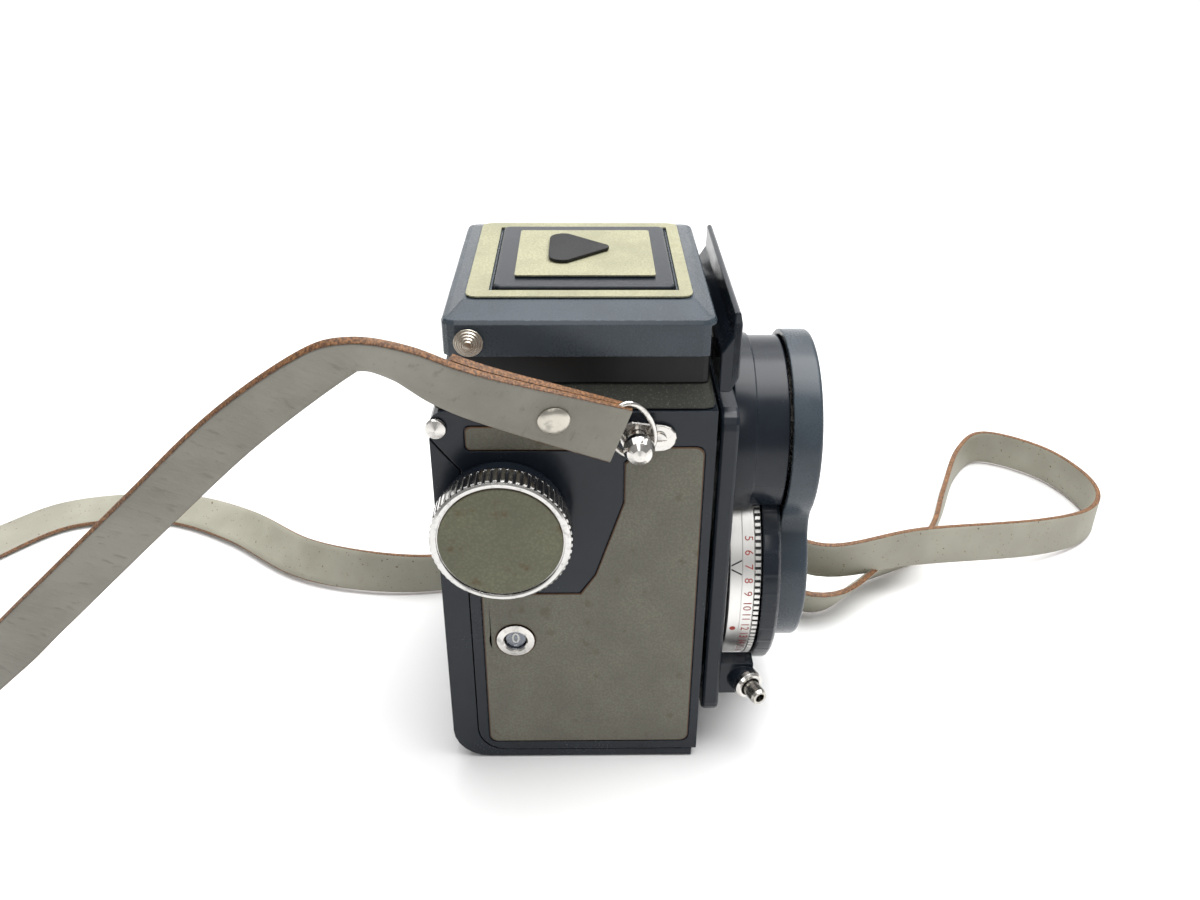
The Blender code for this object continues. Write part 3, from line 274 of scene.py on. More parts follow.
def neck_strap():
    curve = between(STRAP_ROUTE, 10)
    frames = strap_frames(curve)
    section = []
    half, thick = STRAP_WIDTH / 2.0, STRAP_THICK / 2.0
    for i in range(9):
        section.append((half - 0.5 - i * (STRAP_WIDTH - 1.0) / 8.0, thick, 0.0))
    section += [(-half + 0.15, thick - 0.25, 1.0), (-half, 0.0, 1.0), (-half + 0.15, 0.25 - thick, 1.0)]
    for i in range(9):
        section.append((-half + 0.5 + i * (STRAP_WIDTH - 1.0) / 8.0, -thick, 0.0))
    section += [(half - 0.15, 0.25 - thick, 1.0), (half, 0.0, 1.0), (half - 0.15, thick - 0.25, 1.0)]
    bm = bmesh.new()
    layers = {name: bm.verts.layers.float.new(name) for name in ("rim", "across", "along", "creased")}
    rings = []
    travelled = 0.0
    for k, (point, _, width, through) in enumerate(frames):
        if k:
            travelled += (point - frames[k - 1][0]).length
        ring = []
        for a, b, rim in section:
            vert = bm.verts.new((point + width * a + through * b) * MM)
            vert[layers["rim"]] = rim
            vert[layers["across"]] = a * MM
            vert[layers["along"]] = travelled * MM
            vert[layers["creased"]] = 1.0 if travelled < 260.0 else max(0.0, 1.0 - (travelled - 260.0) / 60.0)
            ring.append(vert)
        rings.append(ring)
    count = len(section)
    for first, second in zip(rings, rings[1:]):
        for i in range(count):
            bm.faces.new((first[i], first[(i + 1) % count], second[(i + 1) % count], second[i]))
    bm.faces.new(rings[0])
    bm.faces.new(rings[-1])
    bmesh.ops.recalc_face_normals(bm, faces=bm.faces)
    strap = add("neck_strap_leather", bm, strap_look(), "body", "neck_strap")
    path = [point * MM for point, *_ in frames]
    return frames


strap = neck_strap()


# The strap's end folds back behind itself round the wire of the hook, and a domed rivet holds the fold.

def on_axis(axis, along, a, b):
    """The point at `along` on the named axis, with a and b on the two others in X, Y, Z order."""
    points = {"X": (along, a, b), "Y": (a, along, b), "Z": (a, b, along)}
    return Vector(points[axis]) * MM


def turned(profile, axis, centre, steps=96):
    """The closed profile of (radius, place along the axis) spun about an axis; sizes in millimetres."""
    bm = bmesh.new()
    verts = [bm.verts.new(on_axis(axis, along, centre[0] + radius, centre[1])) for radius, along in profile]
    for i, (radius, _) in enumerate(profile):
        if radius > 0.0 or profile[i - 1][0] > 0.0:
            bm.edges.new((verts[i - 1], verts[i]))
    middle = on_axis(axis, 0.0, *centre)
    turn = on_axis(axis, 1.0, 0.0, 0.0).normalized()
    bmesh.ops.spin(bm, geom=bm.verts[:] + bm.edges[:], cent=middle, axis=turn, dvec=(0.0, 0.0, 0.0),
                   angle=math.tau, steps=steps, use_merge=True)
    bmesh.ops.remove_doubles(bm, verts=bm.verts, dist=0.0005 * MM)
    bmesh.ops.recalc_face_normals(bm, faces=bm.faces)
    return bm


def tint(colour, factor):
    return tuple(min(1.0, c * factor) for c in colour)


def painted(name, colour, roughness=0.32, wear=0.4, fleck=None):
    """Stoved enamel: slight mottling, faint orange peel, dust in places, and edges rubbed lighter."""
    look = Look(name, roughness, round_edges=0.35, Specular_IOR_Level=0.32)
    broad = look.place.noise(14 * MM, 3.0).above(0.3, 0.7)
    fine = look.place.noise(0.5 * MM, 3.0)
    base = broad.mix(tint(colour, 0.88), tint(colour, 1.12))
    if fleck:
        base = look.place.noise(0.35 * MM, 2.0).above(0.58, 0.68).mix(base, fleck)
    rubbed = look.edge * look.place.noise(1.6 * MM, 5.0).above(0.5, 0.62) * wear
    base = rubbed.mix(base, tint(colour, 4.5))
    scratch = look.place.noise(7 * MM, 2.0, (1.0, 0.06, 0.5)).above(0.72, 0.76) * 0.12
    base = scratch.mix(base, tint(colour, 3.0))
    look.bump(look.place.noise(0.9 * MM, 2.0), 0.006 * MM)
    gloss = fine * 0.16 + (roughness - 0.08) + broad * 0.06
    return look.finish(base, gloss)


def plated(name, colour=(0.62, 0.6, 0.57), roughness=0.16, grain=(1.0, 1.0, 1.0)):
    """Nickel or chrome plating: fine brushing and dull spots."""
    look = Look(name, roughness, 1.0, round_edges=0.15)
    dull = look.place.noise(1.8 * MM, 5.0).above(0.5, 0.72)
    base = dull.mix(colour, tint(colour, 0.72))
    brush = look.place.noise(0.35 * MM, 3.0, grain)
    look.bump(brush, 0.004 * MM)
    return look.finish(base, dull * 0.2 + brush * 0.08 + (roughness - 0.04))


CHROME = plated("chrome")
AGED = plated("aged nickel", (0.5, 0.47, 0.41), 0.3)
# Black lacquer for the dark inner parts, and also painted shade for the strap's holes.
BLACK_LACQUER_AND_HOLE_SHADE = painted("black lacquer", (0.004, 0.004, 0.0045), 0.5, 0.15)


def along_strap(distance):
    """The strap's frame at a distance in millimetres from its right-hand end."""
    travelled = 0.0
    for before, here in zip(strap, strap[1:]):
        travelled += (here[0] - before[0]).length
        if travelled >= distance:
            return here
    return strap[-1]


def set_on(bm, point, across, normal):
    """Moves a mesh made about the Z axis to a point, with Z along the normal."""
    third = normal.cross(across)
    turn = Matrix((across, third, normal)).transposed().to_4x4()
    bmesh.ops.transform(bm, matrix=Matrix.Translation(point * MM) @ turn, verts=bm.verts)
    return bm


def strap_fittings():
    bm = bmesh.new()
    rim = bm.verts.layers.float.new("rim")
    creased = bm.verts.layers.float.new("creased")
    rings = []
    for point, _, width, through in strap[:24]:
        ring = []
        for a, b in ((6.3, 0.95), (6.3, 2.6), (-6.3, 2.6), (-6.3, 0.95)):
            vert = bm.verts.new((point + width * a + through * b) * MM)
            vert[rim] = 1.0
            vert[creased] = 1.0
            ring.append(vert)
        rings.append(ring)
    for first, second in zip(rings, rings[1:]):
        for i in range(4):
            bm.faces.new((first[i], first[(i + 1) % 4], second[(i + 1) % 4], second[i]))
    bm.faces.new(rings[0])
    bm.faces.new(rings[-1])
    bmesh.ops.recalc_face_normals(bm, faces=bm.faces)
    add("strap_fold", bm, strap_look(), "body", smooth=False)
    point, along, width, through = along_strap(13.0)
    dome = [(0.0, 0.0), (3.3, 0.0), (3.35, 0.35), (2.9, 0.85), (1.8, 1.15), (0.7, 1.2), (0.0, 1.15)]
    outside = point - through * 0.9
    add("strap_rivet", set_on(turned(dome, "Z", (0.0, 0.0), 48), outside, along, -through), AGED, "body")
    # The strap's two holes are flat black discs on its face: painted shade where the holes are.
    for number, distance in enumerate((532.0, 572.0)):
        point, along, width, through = along_strap(distance)
        hole = [(0.0, -0.3), (1.1, -0.3), (1.1, 0.04), (0.0, 0.04)]
        place = point + through * 0.9
        add(f"strap_hole_{number + 1}", set_on(turned(hole, "Z", (0.0, 0.0), 20), place, along, through),
            BLACK_LACQUER_AND_HOLE_SHADE, "body")


def wire_hook(name, points, radius=0.6):
    """A closed ring of round wire through the points."""
    loop = between([*points, points[0], points[1], points[2]], 8)[8:-8]
    centres = [Vector(p) for p in loop[: 8 * len(points)]]
    bm = bmesh.new()
    rings = []
    for i, centre in enumerate(centres):
        along = (centres[(i + 1) % len(centres)] - centres[i - 1]).normalized()
        side = along.cross(Vector((0.6, 0.2, 0.77))).normalized()
        up = side.cross(along)
        ring = []
        for k in range(12):
            angle = math.tau * k / 12
            out = side * math.cos(angle) + up * math.sin(angle)
            ring.append(bm.verts.new((centre + out * radius) * MM))
        rings.append(ring)
    for first, second in zip(rings, rings[1:] + rings[:1]):
        for k in range(12):
            bm.faces.new((first[k], first[(k + 1) % 12], second[(k + 1) % 12], second[k]))
    bmesh.ops.recalc_face_normals(bm, faces=bm.faces)
    add(name, bm, CHROME, "body")


strap_fittings()
HOOK = ((-43.6, -6.4, 104.4), (-43.6, -8.8, 107.6), (-42.4, -12.0, 106.8), (-40.2, -15.0, 102.0),
        (-38.0, -16.0, 96.4), (-37.2, -14.4, 92.4), (-37.6, -11.4, 91.9), (-39.8, -8.4, 94.6),
        (-42.4, -6.4, 98.6))
wire_hook("strap_hook_right", HOOK)
wire_hook("strap_hook_left", [(-x + 0.6, y - 2.2, z - 1.4) for x, y, z in HOOK])


# ---------------------------------------------------------------- winding knob
# A chromed knob with deep flutes round it, their grooves painted near black as shade, a bright lip, and a
# disc of leather let into its face.

def rounded(profile, radius, steps=3):
    """The profile with each corner cut to a short arc of about that radius."""
    points = []
    for i, point in enumerate(profile):
        here = Vector(point)
        before = Vector(profile[i - 1]) - here
        after = Vector(profile[(i + 1) % len(profile)]) - here
        if here.x == 0.0 or before.length < 2.2 * radius or after.length < 2.2 * radius:
            points.append(tuple(here))
            continue
        start = here + before.normalized() * radius
        end = here + after.normalized() * radius
        for k in range(steps + 1):
            t = k / steps
            points.append(tuple(start * (1 - t) ** 2 + here * 2 * t * (1 - t) + end * t**2))
    return points


def hide(name, colour, stain, pebble=0.55, depth=0.05, roughness=0.62, worn=0.5):
    """Thin embossed leather: close pebbles with painted shade in the hollows between them, stains, and glue
    showing at a cut edge.
    """
    look = Look(name, roughness, round_edges=0.0)
    drift = look.place.noise(2 * MM, 2.0) * (0.4 * MM)
    warp = look.place.node("ShaderNodeVectorMath", {0: look.place, 1: drift})
    pebbles = warp.cells(pebble * MM).above(0.1, 0.75)
    broad = look.place.noise(11 * MM, 5.0)
    base = broad.above(0.3, 0.7).mix(tint(colour, 0.86), tint(colour, 1.14))
    # Painted shade: the hollows between the pebbles, where the bump sinks, are darkened.
    base = (pebbles * 0.55).mix(base, tint(colour, 0.62))
    spots = look.place.noise(5 * MM, 8.0).above(0.6, 0.72) * worn
    base = spots.mix(base, stain)
    base = look.attribute("rim").above(0.45, 0.95).mix(base, (0.075, 0.035, 0.014))
    look.bump(pebbles * -1.0 + look.place.noise(0.18 * MM, 3.0) * 0.35, depth * MM)
    return look.finish(base, broad * 0.2 + (roughness - 0.1))


NAVY = painted("dark enamel", (0.009, 0.0125, 0.0185), 0.2)
KNOB_HIDE = hide("knob leather", (0.125, 0.125, 0.075), (0.075, 0.045, 0.012), 0.7, 0.06, worn=0.8)


def fluted(name, profile, axis, centre, flutes, body, nodes, look):
    """As turned, with a groove depth as each ring's third value; the grooves carry the value 1."""
    bm = bmesh.new()
    groove = bm.verts.layers.float.new("groove")
    steps = flutes * 8
    rings = []
    for radius, along, depth in profile:
        ring = []
        for i in range(steps if radius > 0.0 else 1):
            angle = math.tau * i / steps
            cut = 1.0 if i % 8 in (0, 1, 2) else 0.0
            reach = radius - depth * cut
            a = centre[0] + reach * math.cos(angle)
            b = centre[1] + reach * math.sin(angle)
            vert = bm.verts.new(on_axis(axis, along, a, b))
            vert[groove] = cut if depth else 0.0
            ring.append(vert)
        rings.append(ring)
    for first, second in zip(rings, rings[1:] + rings[:1]):
        for i in range(steps):
            j = (i + 1) % steps
            corners = [ring[k % len(ring)] for ring, k in ((first, i), (first, j), (second, j), (second, i))]
            corners = list(dict.fromkeys(corners))
            if len(corners) > 2:
                bm.faces.new(corners)
    bmesh.ops.recalc_face_normals(bm, faces=bm.faces)
    return add(name, bm, look, body, *nodes)


def fluted_look(name, band=(0.6, 0.59, 0.57)):
    look = Look(name, 0.2, 1.0, round_edges=0.1)
    groove = look.attribute("groove").above(0.3, 0.6)
    dull = look.place.noise(1.5 * MM, 5.0).above(0.5, 0.72)
    # Painted shade: the grooves are near black and not metallic, standing for the shade in the flutes.
    base = groove.mix(dull.mix(band, tint(band, 0.75)), (0.006, 0.007, 0.01))
    return look.finish(base, dull * 0.18 + groove * 0.3 + 0.15, groove * -1.0 + 1.0)


def winding_knob():
    low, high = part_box("wind_knob")
    face = low.x / MM
    centre = ((low.y + high.y) / 2.0 / MM, (low.z + high.z) / 2.0 / MM)
    radius = (high.y - low.y) / 2.0 / MM
    inner = radius - 1.7
    skirt = turned(rounded([(0.0, face + 9.9), (radius - 1.2, face + 10.7), (radius - 0.6, face + 6.3),
                            (0.0, face + 6.3)], 0.3), "X", centre)
    add("wind_knob_skirt", skirt, NAVY, "winder", "wind_knob")
    profile = [(0.0, face + 6.4, 0.0), (radius - 0.5, face + 6.4, 0.0), (radius - 0.1, face + 6.1, 0.75),
               (radius, face + 5.6, 0.75), (radius, face + 0.75, 0.75), (radius - 0.25, face + 0.7, 0.5),
               (radius - 0.3, face + 0.35, 0.0), (radius - 0.7, face, 0.0), (inner + 0.35, face, 0.0),
               (inner + 0.05, face + 0.2, 0.0), (inner, face + 0.7, 0.0), (0.0, face + 0.7, 0.0)]
    fluted("wind_knob_rim", profile, "X", centre, 60, "winder", [], fluted_look("fluted chrome"))
    disc = [(0.0, face + 0.1), (inner - 0.9, face + 0.1), (inner - 0.45, face + 0.18),
            (inner - 0.25, face + 0.5), (0.0, face + 0.5)]
    bm = turned(disc, "X", centre)
    rim = bm.verts.layers.float.new("rim")
    for vert in bm.verts:
        reach = math.hypot(vert.co.y / MM - centre[0], vert.co.z / MM - centre[1])
        vert[rim] = 1.0 if reach > inner - 0.4 else 0.0
    add("wind_knob_disc", bm, KNOB_HIDE, "winder", "wind_knob_leather")


winding_knob()


# ---------------------------------------------------------------- focusing knob
# On the other side: fluted like the winding knob, with a plain dark face.

SLATE = painted("slate enamel", (0.04, 0.052, 0.064), 0.24)


def focusing_knob():
    low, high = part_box("focus_knob")
    face = high.x / MM
    centre = ((low.y + high.y) / 2.0 / MM, (low.z + high.z) / 2.0 / MM)
    radius = (high.y - low.y) / 2.0 / MM
    skirt = turned(rounded([(0.0, face - 10.0), (radius - 1.4, face - 10.0), (radius - 0.8, face - 6.0),
                            (0.0, face - 6.0)], 0.3), "X", centre)
    add("focus_knob_skirt", skirt, NAVY, "focus", "focus_knob")
    profile = [(0.0, face - 6.1, 0.0), (radius - 0.5, face - 6.1, 0.0), (radius, face - 5.6, 0.7),
               (radius, face - 0.8, 0.7), (radius - 0.3, face - 0.4, 0.0), (radius - 0.7, face, 0.0),
               (radius - 1.5, face, 0.0), (radius - 1.6, face - 0.4, 0.0), (0.0, face - 0.4, 0.0)]
    fluted("focus_knob_rim", profile, "X", centre, 52, "focus", [], fluted_look("fluted nickel"))
    plate = turned([(0.0, face - 0.45), (radius - 1.8, face - 0.45), (radius - 2.0, face - 0.25),
                    (0.0, face - 0.25)], "X", centre)
    add("focus_knob_plate", plate, SLATE, "focus")


focusing_knob()


# ---------------------------------------------------------------- light-value ring
# A satin aluminium ring with red numbers, a red dot and a black pointer, and a knurled front edge.

def glyphs(text, size):
    """A number as a flat mesh about its own middle, in millimetres."""
    curve = bpy.data.curves.new("glyph", "FONT")
    curve.body = text
    curve.size = size
    curve.align_x = "CENTER"
    curve.align_y = "CENTER"
    curve.resolution_u = 3
    holder = bpy.data.objects.new("glyph", curve)
    bpy.context.scene.collection.objects.link(holder)
    bpy.context.view_layer.update()
    mesh = bpy.data.meshes.new_from_object(holder)
    bpy.data.objects.remove(holder)
    bm = bmesh.new()
    bm.from_mesh(mesh)
    bpy.data.meshes.remove(mesh)
    return bm


def ink(name, colour):
    look = Look(name, 0.5, round_edges=0.0)
    grain = look.place.noise(0.3 * MM, 4.0).above(0.35, 0.65)
    return look.finish(grain.mix(tint(colour, 0.75), colour))


def light_value_ring():
    low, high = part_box("light_value_ring")
    front, back = low.y / MM, high.y / MM
    radius = high.x / MM
    centre = (0.0, (low.z + high.z) / 2.0 / MM)
    band = radius - 0.3
    profile = [(26.4, back, 0.0), (band - 0.2, back, 0.0), (band, back - 0.2, 0.0), (band, back - 3.0, 0.0),
               (band - 0.15, back - 3.1, 0.0), (band, back - 3.2, 0.0), (band, front + 1.7, 0.0),
               (band - 0.25, front + 1.55, 0.0), (radius, front + 1.45, 0.5), (radius, front + 0.15, 0.5),
               (radius - 0.5, front, 0.0), (26.4, front, 0.0)]
    look = Look("satin aluminium", 0.38, 1.0, round_edges=0.1)
    groove = look.attribute("groove").above(0.3, 0.6)
    brushed = look.place.noise(0.6 * MM, 4.0, (0.15, 4.0, 0.15))
    # Painted shade: the knurl's grooves are near black and not metallic, standing for the shade in them.
    base = groove.mix((0.72, 0.71, 0.69), (0.02, 0.02, 0.02))
    look.bump(brushed, 0.008 * MM)
    metal = look.finish(base, brushed * 0.2 + 0.28, groove * -1.0 + 1.0)
    fluted("light_value_ring_metal", profile, "Y", centre, 110, "light_value", ["light_value_ring"], metal)
    red = ink("red filling", (0.36, 0.035, 0.02))
    black = ink("black filling", (0.01, 0.01, 0.01))

    def wrap(name, bm, at, y, paint):
        """Lays a flat mesh on the ring, its own X running down the side and its own Y to the front."""
        for vert in bm.verts:
            across, up = vert.co.x, vert.co.y
            angle = math.radians(at) - across / band
            reach = band + 0.03
            vert.co = Vector((-reach * math.cos(angle), y - up, centre[1] + reach * math.sin(angle))) * MM
        bmesh.ops.recalc_face_normals(bm, faces=bm.faces)
        add(name, bm, paint, "light_value", smooth=False)

    for number in range(5, 18):
        wrap(f"light_value_{number}", glyphs(str(number), 2.9), (10.3 - number) * 7.0, front + 3.1, red)
    dot = bmesh.new()
    bmesh.ops.create_circle(dot, cap_ends=True, segments=24, radius=0.75)
    wrap("light_value_dot", dot, -13.0, back - 1.6, red)
    for number, (at, lean) in enumerate(((25.0, -0.5), (20.5, 0.5))):
        mark = bmesh.new()
        outline = ((-0.2, -1.3), (0.2, -1.3), (0.2, 1.3), (-0.2, 1.3))
        mark.faces.new([mark.verts.new((a + lean * b, b, 0.0)) for a, b in outline])
        wrap(f"light_value_mark_{number + 1}", mark, at, back - 1.7, black)


light_value_ring()


# ---------------------------------------------------------------- frame counter
# The dial under the little window shows a plain nought.

def counter_digit():
    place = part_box("counter_window")
    middle = (place[0] + place[1]) / 2.0
    bm = glyphs("0", 4.2)
    for vert in bm.verts:
        vert.co = Vector((place[0].x - 0.03 * MM, middle.y - vert.co.x * MM, middle.z + vert.co.y * MM))
    bmesh.ops.recalc_face_normals(bm, faces=bm.faces)
    add("counter_digit", bm, ink("white filling", (0.7, 0.7, 0.66)), "counter", smooth=False)


counter_digit()


# ---------------------------------------------------------------- lens cap
# One push-on cap over both lenses: two circles with a waist between them, a rounded front edge and a
# thin raised line just inside it.

def arc(centre, radius, start, end, steps):
    points = []
    for i in range(steps + 1):
        angle = math.radians(start + (end - start) * i / steps)
        points.append((centre[0] + radius * math.cos(angle), centre[1] + radius * math.sin(angle)))
    return points


def cap_outline(radius, waist, low, high):
    """Two circles about the lens axes at heights low and high, joined by a concave waist."""
    half = (high - low) / 2.0
    middle = (high + low) / 2.0
    reach = math.sqrt((radius + waist) ** 2 - half**2)
    lean = math.degrees(math.atan2(half, reach))
    top = arc((0.0, high), radius, -lean, 180.0 + lean, 72)
    left = arc((-reach, middle), waist, lean, -lean, 10)
    bottom = arc((0.0, low), radius, 180.0 - lean, 360.0 + lean, 72)
    right = arc((reach, middle), waist, 180.0 + lean, 180.0 - lean, 10)
    return top + left[1:-1] + bottom + right[1:-1]


def stacked(outlines, axis):
    """A closed solid through outlines of equal length, each (points, place along the axis)."""
    bm = bmesh.new()
    rings = [[bm.verts.new(on_axis(axis, along, a, b)) for a, b in points] for points, along in outlines]
    count = len(rings[0])
    for first, second in zip(rings, rings[1:]):
        for i in range(count):
            bm.faces.new((first[i], first[(i + 1) % count], second[(i + 1) % count], second[i]))
    for ring in (rings[0], rings[-1]):
        end = bm.faces.new(ring)
        end.normal_update()
        bmesh.ops.triangulate(bm, faces=[end])
    bmesh.ops.recalc_face_normals(bm, faces=bm.faces)
    return bm


def lens_cap():
    low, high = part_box("lens_cap")
    radius = high.x / MM
    bottom = low.z / MM + radius
    top = high.z / MM - radius
    front, back = low.y / MM, high.y / MM
    levels = [(1.4, front + 1.4), (1.4, back - 0.2), (1.2, back), (0.2, back), (0.0, back - 0.2),
              (0.0, front + 1.1), (0.1, front + 0.6), (0.4, front + 0.2), (0.9, front), (1.6, front),
              (1.75, front + 0.12), (1.95, front + 0.12), (2.1, front), (2.6, front)]
    outlines = [(cap_outline(radius - inset, 8.0 + inset, bottom, top), along) for inset, along in levels]
    add("lens_cap_shell", stacked(outlines, "Y"), SLATE, "cap", "lens_cap")


lens_cap()


# ---------------------------------------------------------------- leather
# Thin panels let into the body's sides. Old glue shows brown along their cut edges.

HIDE = hide("body leather", (0.135, 0.13, 0.098), (0.07, 0.055, 0.03))


def panel(name, outline, x, thick, look, body, node, hole=None):
    """A leather panel on a side face; outline(inset) gives its edge in Y and Z, hole a round gap in it."""
    side = math.copysign(1.0, x)
    levels = [(0.0, 0.0, 1.0), (0.0, 0.6, 1.0), (0.18, 0.95, 0.9), (0.5, 1.0, 0.0), (1.6, 1.0, 0.0)]
    bm = bmesh.new()
    rim = bm.verts.layers.float.new("rim")
    edges = []
    for points in (outline, hole) if hole else (outline,):
        rings = []
        for inset, share, brown in levels:
            ring = []
            for y, z in points(inset):
                vert = bm.verts.new(Vector((x - side * thick * (1.0 - share), y, z)) * MM)
                vert[rim] = brown
                ring.append(vert)
            rings.append(ring)
        count = len(rings[0])
        for first, second in zip(rings, rings[1:]):
            for i in range(count):
                bm.faces.new((first[i], first[(i + 1) % count], second[(i + 1) % count], second[i]))
        edges += [bm.edges.get((rings[-1][i], rings[-1][(i + 1) % count])) for i in range(count)]
    bmesh.ops.triangle_fill(bm, use_beauty=True, edges=edges)
    bmesh.ops.recalc_face_normals(bm, faces=bm.faces)
    if sum(face.normal.x * face.calc_area() for face in bm.faces) * side < 0.0:
        bmesh.ops.reverse_faces(bm, faces=bm.faces)
    add(name, bm, look, body, node)


def counter_gap(inset):
    low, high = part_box("counter_bezel")
    middle = ((low.y + high.y) / 2.0 / MM, (low.z + high.z) / 2.0 / MM)
    return arc(middle, (high.y - low.y) / 2.0 / MM + 0.15 + inset, 0.0, 352.0, 44)


def side_outline(inset):
    """The side leather below the knob's plate, in Y and Z."""
    low, front, rear, top = 5.2 + inset, -27.4 + inset, 23.4 - inset, 92.2 - inset
    return (
        arc((front + 2.0, low + 2.0), 2.0, 180.0, 270.0, 6)
        + arc((rear - 2.0, low + 2.0), 2.0, 270.0, 360.0, 6)
        + [(rear, 52.5 - inset), (-inset, 52.5 - inset), (-3.6 - inset, 58.0), (-9.9 - inset, 78.0)]
        + [(-9.9 - inset, top - 4.0), (-14.0 - inset, top)]
        + arc((front + 2.0, top - 2.0), 2.0, 90.0, 180.0, 6)
    )


def strip_outline(inset):
    corners = ((24.9, 91.6, 270.0), (24.9, 97.4, 0.0), (-7.0, 97.4, 90.0), (-7.0, 91.6, 180.0))
    points = []
    for y, z, start in corners:
        inside = (y - math.copysign(1.2 + inset, y - 9.0), z - math.copysign(1.2 + inset, z - 94.5))
        points += arc(inside, 1.2, start, start + 90.0, 4)
    return points


right_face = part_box("side_leather_right")[0].x / MM
left_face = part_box("side_leather_left")[1].x / MM
panel("side_panel_right", side_outline, right_face, 0.4, HIDE, "body", "side_leather_right", counter_gap)
panel("side_panel_left", side_outline, left_face, 0.4, HIDE, "body", "side_leather_left")
panel("strip_panel", strip_outline, right_face, 0.4, HIDE, "body", "leather_strip")


# ---------------------------------------------------------------- ridged grips and apron ribs
# The lid's two grips are low cones of fine steps. The plate in front of the hood has ribs on its ends.

def grips():
    for name, side in (("right", -1.0), ("left", 1.0)):
        low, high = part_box(f"hood_grip_{name}")
        seat = (high.x if side < 0 else low.x) / MM
        centre = ((low.y + high.y) / 2.0 / MM, (low.z + high.z) / 2.0 / MM)
        profile = [(0.0, seat), (3.1, seat)]
        for i in range(5):
            radius = 3.1 - 0.52 * i
            along = seat + side * 0.38 * (i + 1)
            profile += [(radius, along - side * 0.12), (radius - 0.1, along)]
            profile.append((radius - 0.42, along - side * 0.03))
        profile.append((0.0, seat + side * 2.1))
        add(f"hood_grip_{name}_steps", turned(profile, "X", centre, 64), AGED, "lid", f"hood_grip_{name}")


def apron_ribs():
    low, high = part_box("apron")
    for side, face in (("right", low.x / MM), ("left", high.x / MM)):
        away = math.copysign(1.0, face)
        for number in range(4):
            y = high.y / MM - 2.75 - 0.36 * number
            bm = turned([(0.0, 106.0 + number), (0.12, 106.2 + number), (0.12, 119.4), (0.0, 119.6)], "Z",
                        (face + away * 0.02, y), 10)
            add(f"apron_rib_{side}_{number + 1}", bm, NAVY, "body")


grips()
apron_ribs()


# ---------------------------------------------------------------- turned front pieces
# The viewing lens's casing and the shutter's flange are fine turnings of the CAD's own sizes, with small
# rounds on their edges.

def front_turnings():
    low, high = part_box("viewing_barrel")
    front, back = low.y / MM, high.y / MM
    radius = high.x / MM
    centre = (0.0, high.z / MM - radius)
    shell = [(14.0, back - 0.2), (radius, back - 0.2), (radius, -41.0), (radius - 0.6, -41.0),
             (radius - 0.6, front + 0.3), (radius - 1.1, front), (21.3, front), (21.3, -38.0), (14.0, -38.0)]
    bm = turned(rounded(shell, 0.25), "Y", centre, 128)
    low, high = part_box("light_value_ring")
    clear = high.x / MM + 0.3
    ring_z = (low.z + high.z) / 2.0 / MM
    for vert in bm.verts:
        x, z = vert.co.x / MM, vert.co.z / MM
        reach = math.hypot(x, z - ring_z)
        limit = clear if vert.co.y / MM > -44.3 else clear + 1.4
        if reach < limit and z < centre[1]:
            vert.co.z = (ring_z + math.sqrt(limit**2 - x**2)) * MM
    add("viewing_barrel_casing", bm, NAVY, "front", "viewing_barrel")
    low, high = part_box("shutter_case")
    radius = high.x / MM
    front = low.y / MM
    flange = [(24.0, front), (24.0, front + 4.3), (radius - 0.05, front + 4.3), (radius - 0.05, front + 0.8),
              (radius - 0.8, front)]
    bm = turned(rounded(flange, 0.25), "Y", (0.0, ring_z), 128)
    hub = [(14.4, -35.6), (25.9, -35.6), (25.9, front + 4.3), (14.4, front + 4.3)]
    add("shutter_hub", turned(hub, "Y", (0.0, ring_z), 96), BLACK_LACQUER_AND_HOLE_SHADE, "front")
    add("shutter_flange", bm, NAVY, "front")


front_turnings()


# ---------------------------------------------------------------- the CAD's other pieces
# Castings, screws and fittings keep the CAD's shape and take their finish here.

def mirror_glass(name, colour, roughness=0.03):
    look = Look(name, roughness, 0.0, round_edges=0.0, Transmission_Weight=0.8, Coat_Weight=0.6)
    film = look.place.noise(6 * MM, 3.0)
    return look.finish(film.above(0.3, 0.7).mix(colour, tint(colour, 0.85)), film * 0.06)


STEEL = plated("nickel", (0.5, 0.48, 0.44), 0.26, (0.2, 1.0, 1.0))
SHOULDER = painted("speckled enamel", (0.026, 0.028, 0.022), 0.6, 0.2, (0.07, 0.072, 0.055))
GLASS = mirror_glass("lens glass", (0.75, 0.82, 0.95))
# Painted light: the lid's leather is given a much paler colour than the side leather, standing for the light
# from above on the top.
LIT_LID_HIDE = hide("lid leather", (0.33, 0.32, 0.205), (0.25, 0.235, 0.135), 0.5, 0.04, worn=0.35)

PLAIN = {
    NAVY: ("body_shell", "back_cover", "lens_standard", "apron", "finder_flap", "shutter_case"),
    SLATE: ("hood_lid",),
    SHOULDER: ("top_deck",),
    BLACK_LACQUER_AND_HOLE_SHADE: ("pressure_plate", "film_chamber", "mirror_carrier", "screen_frame", "take_up_spool",
             "supply_spool", "counter_dial", "hood_base", "lid_badge", "hood_flap_right", "hood_flap_left",
             "hood_flap_rear", "magnifier_frame"),
    CHROME: ("hinge_screw_right", "hinge_screw_left", "back_latch", "mirror", "spool_knob_upper",
             "spool_knob_lower", "counter_bezel", "release_collar", "flash_socket", "cocking_lever",
             "lug_plate_right", "lug_plate_left", "lug_stud_right", "lug_stud_left"),
    STEEL: ("tripod_bush", "film_roller_lower", "film_roller_upper", "release_button", "viewing_lens_mount",
            "taking_lens_mount"),
    GLASS: ("focusing_screen", "counter_window", "viewing_front_glass", "taking_front_glass",
            "magnifier_lens"),
    LIT_LID_HIDE: ("lid_leather", "finder_leather"),
}
for look, names in PLAIN.items():
    for name in names:
        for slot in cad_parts[name].material_slots:
            slot.material = look


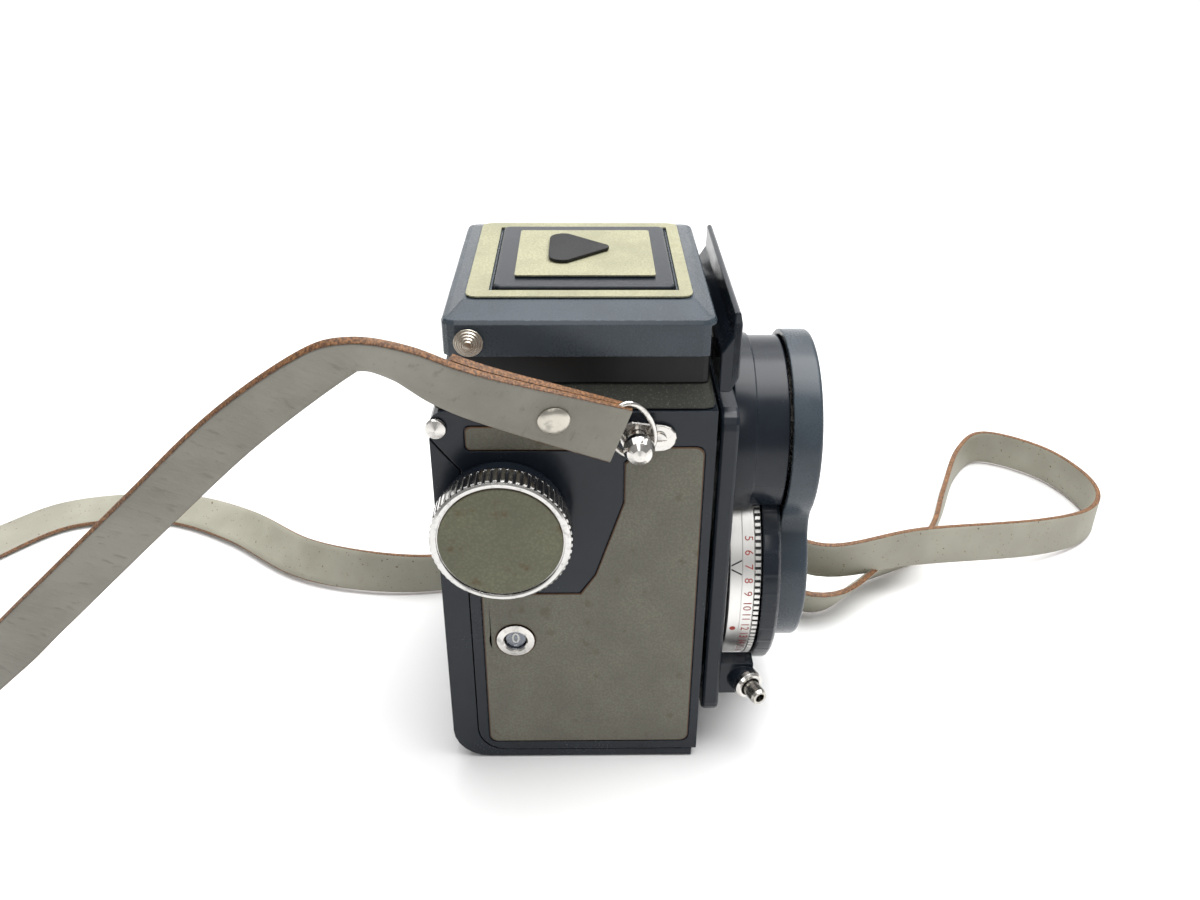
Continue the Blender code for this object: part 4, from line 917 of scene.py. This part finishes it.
# ---------------------------------------------------------------- floor and light
# A white sweep under and behind the camera, a large soft light above and a weaker one in front.

def stage():
    look = Look("floor", 0.7, round_edges=0.0)
    cloud = look.place.noise(0.5, 2.0)
    white = look.finish(cloud.above(0.2, 0.8).mix((0.82, 0.82, 0.82), (0.86, 0.86, 0.86)))
    bm = bmesh.new()
    profile = [(-1.6, 0.0), (1.1, 0.0)]
    for i in range(1, 13):
        angle = math.radians(7.5 * i)
        profile.append((1.1 + 0.8 * math.sin(angle), 0.8 - 0.8 * math.cos(angle)))
    profile.append((1.9, 2.4))
    rows = [[bm.verts.new((x, y, z - 0.0004)) for y in (-2.6, 2.6)] for x, z in profile]
    for first, second in zip(rows, rows[1:]):
        bm.faces.new((first[0], second[0], second[1], first[1]))
    for face in bm.faces:
        face.smooth = True
    mesh = bpy.data.meshes.new("floor")
    bm.to_mesh(mesh)
    bm.free()
    mesh.materials.append(white)
    floor = bpy.data.objects.new("floor", mesh)
    bpy.context.scene.collection.objects.link(floor)


def soft_light(name, place, aim, size, power, colour=(1.0, 1.0, 1.0)):
    data = bpy.data.lights.new(name, "AREA")
    data.shape = "RECTANGLE"
    data.size, data.size_y = size
    data.energy = power
    data.color = colour
    light = bpy.data.objects.new(name, data)
    light.location = place
    light.rotation_euler = (Vector(aim) - Vector(place)).to_track_quat("-Z", "Y").to_euler()
    bpy.context.scene.collection.objects.link(light)


stage()
soft_light("key", (0.0, -0.35, 1.1), (0.0, 0.0, 0.05), (1.0, 1.0), 15.0)
soft_light("fill", (-1.1, 0.1, 0.9), (0.0, 0.0, 0.05), (0.5, 0.4), 2.0, (1.0, 0.99, 0.97))
soft_light("backdrop", (0.9, 0.0, 1.5), (1.4, 0.0, 0.2), (2.0, 2.4), 34.0)
world = bpy.data.worlds.new("studio")
world.use_nodes = True
world.node_tree.nodes["Background"].inputs["Color"].default_value = (1.0, 1.0, 1.0, 1.0)
world.node_tree.nodes["Background"].inputs["Strength"].default_value = 0.36
bpy.context.scene.world = world
bpy.context.scene.view_settings.view_transform = "Standard"
